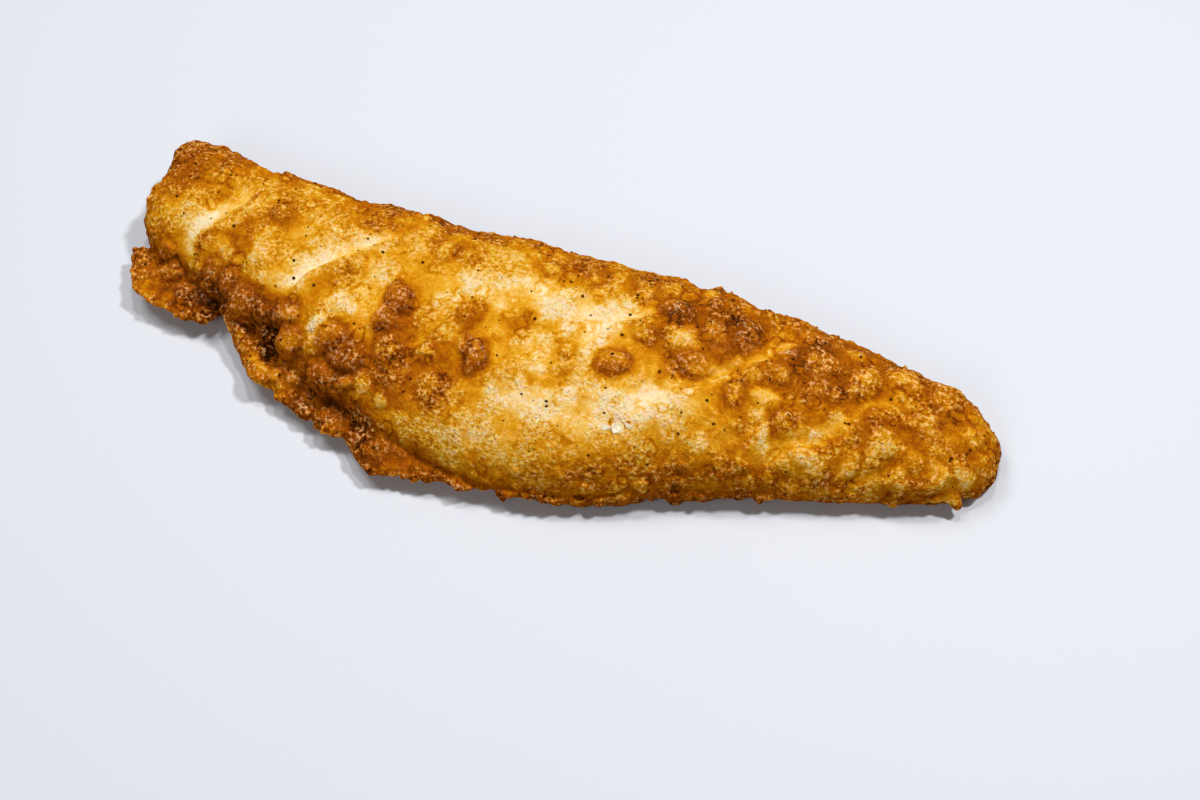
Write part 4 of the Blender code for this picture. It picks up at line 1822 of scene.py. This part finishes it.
@dataclass(frozen=True)
class Studio:
    """The pale floor, the soft lights and the camera."""

    azimuth: float = 19.0
    elevation: float = 60.0
    distance: float = 0.45
    target: tuple[float, float, float] = (0.0186, -0.0026, 0.012)
    focal: float = 52.65
    sensor: float = 36.0
    floor_half: float = 2.0
    floor_tint: Tint = Tint(206, 209, 216)
    room_light: float = 0.09
    lamps: tuple[Lamp, ...] = (
        Lamp("right_window", 128.0, 62.0, 1.0, 0.1, 6.1), Lamp("left_window", 248.0, 60.0, 1.0, 0.35, 3.7),
        Lamp("ceiling", 190.0, 72.0, 1.0, 0.1, 2.4), Lamp("front", -15.0, 42.0, 1.2, 0.5, 2.6),
    )

    def build(self) -> None:
        """Sets up everything that isn't food."""
        self._floor()
        self._lights()
        self._camera()

    @staticmethod
    def toward(azimuth: float, elevation: float) -> Vector:
        """The direction from the object to a viewer or a lamp."""
        a, e = math.radians(azimuth), math.radians(elevation)
        return Vector((math.sin(a) * math.cos(e), -math.cos(a) * math.cos(e), math.sin(e)))

    def _floor(self) -> None:
        """A wide pale surface."""
        half = self.floor_half
        mesh = bpy.data.meshes.new("floor")
        corners = [(-half, -half, 0), (half, -half, 0), (half, half, 0), (-half, half, 0)]
        mesh.from_pydata(corners, [], [(0, 1, 2, 3)])
        material = bpy.data.materials.new("pale_floor")
        material.use_nodes = True
        shader = material.node_tree.nodes["Principled BSDF"]
        shader.inputs["Base Color"].default_value = self.floor_tint.linear
        shader.inputs["Roughness"].default_value = 0.6
        mesh.materials.append(material)
        in_scene("floor", mesh)

    def _lights(self) -> None:
        """Two windows and a ceiling lamp behind the fillet, one lamp in front, and a dim room."""
        for lamp in self.lamps:
            data = bpy.data.lights.new(lamp.name, "AREA")
            data.shape = "SQUARE"
            data.size = lamp.size
            data.energy = lamp.watts
            toward = self.toward(lamp.azimuth, lamp.elevation)
            shown = in_scene(lamp.name, data)
            shown.location = toward * lamp.away
            shown.rotation_euler = (-toward).to_track_quat("-Z", "Y").to_euler()
        world = bpy.data.worlds.new("room")
        world.use_nodes = True
        room = world.node_tree.nodes["Background"].inputs
        room["Color"].default_value = (1.0, 0.99, 0.97, 1.0)
        room["Strength"].default_value = self.room_light
        bpy.context.scene.world = world
        bpy.context.scene.view_settings.view_transform = "Standard"

    def _camera(self) -> None:
        """The camera, looking down on the rolled side."""
        data = bpy.data.cameras.new("camera")
        data.sensor_width = self.sensor
        data.lens = self.focal
        data.clip_start = 0.01
        back = self.toward(self.azimuth, self.elevation)
        camera = in_scene("camera", data)
        camera.location = Vector(self.target) + back * self.distance
        camera.rotation_mode = "QUATERNION"
        camera.rotation_quaternion = (-back).to_track_quat("-Z", "Y")
        bpy.context.scene.camera = camera


def main() -> None:
    """Builds the fillet's looks, piece by piece."""
    logging.basicConfig(level=logging.INFO, format="%(name)s: %(message)s")
    low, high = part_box(NODE)
    form = FilletForm((high[0] - low[0]) / MM)
    frying = frying_group()
    batter = FriedFinish("fried_batter_crust").material(frying)
    crust = Crust(form, Browning(form))
    crust.build(batter)
    fish = PlainFinish(
        "white_fish", Tint(234, 222, 200), Tint(214, 190, 152), 900.0, 0.5, specular=0.2, subsurface=0.3,
    )
    TornPlace().build(crust, fish.material())
    pepper = PlainFinish("ground_pepper", Tint(108, 56, 10), Tint(60, 28, 3), 3000.0, 0.7)
    Pepper().build(crust, pepper.material())
    crumbs = FriedFinish("fried_crumbs", steady_tone=0.62, steady_grain=0.9)
    Crumbs().build(crust, crumbs.material(frying))
    Studio().build()


if __name__ == "__main__":
    main()
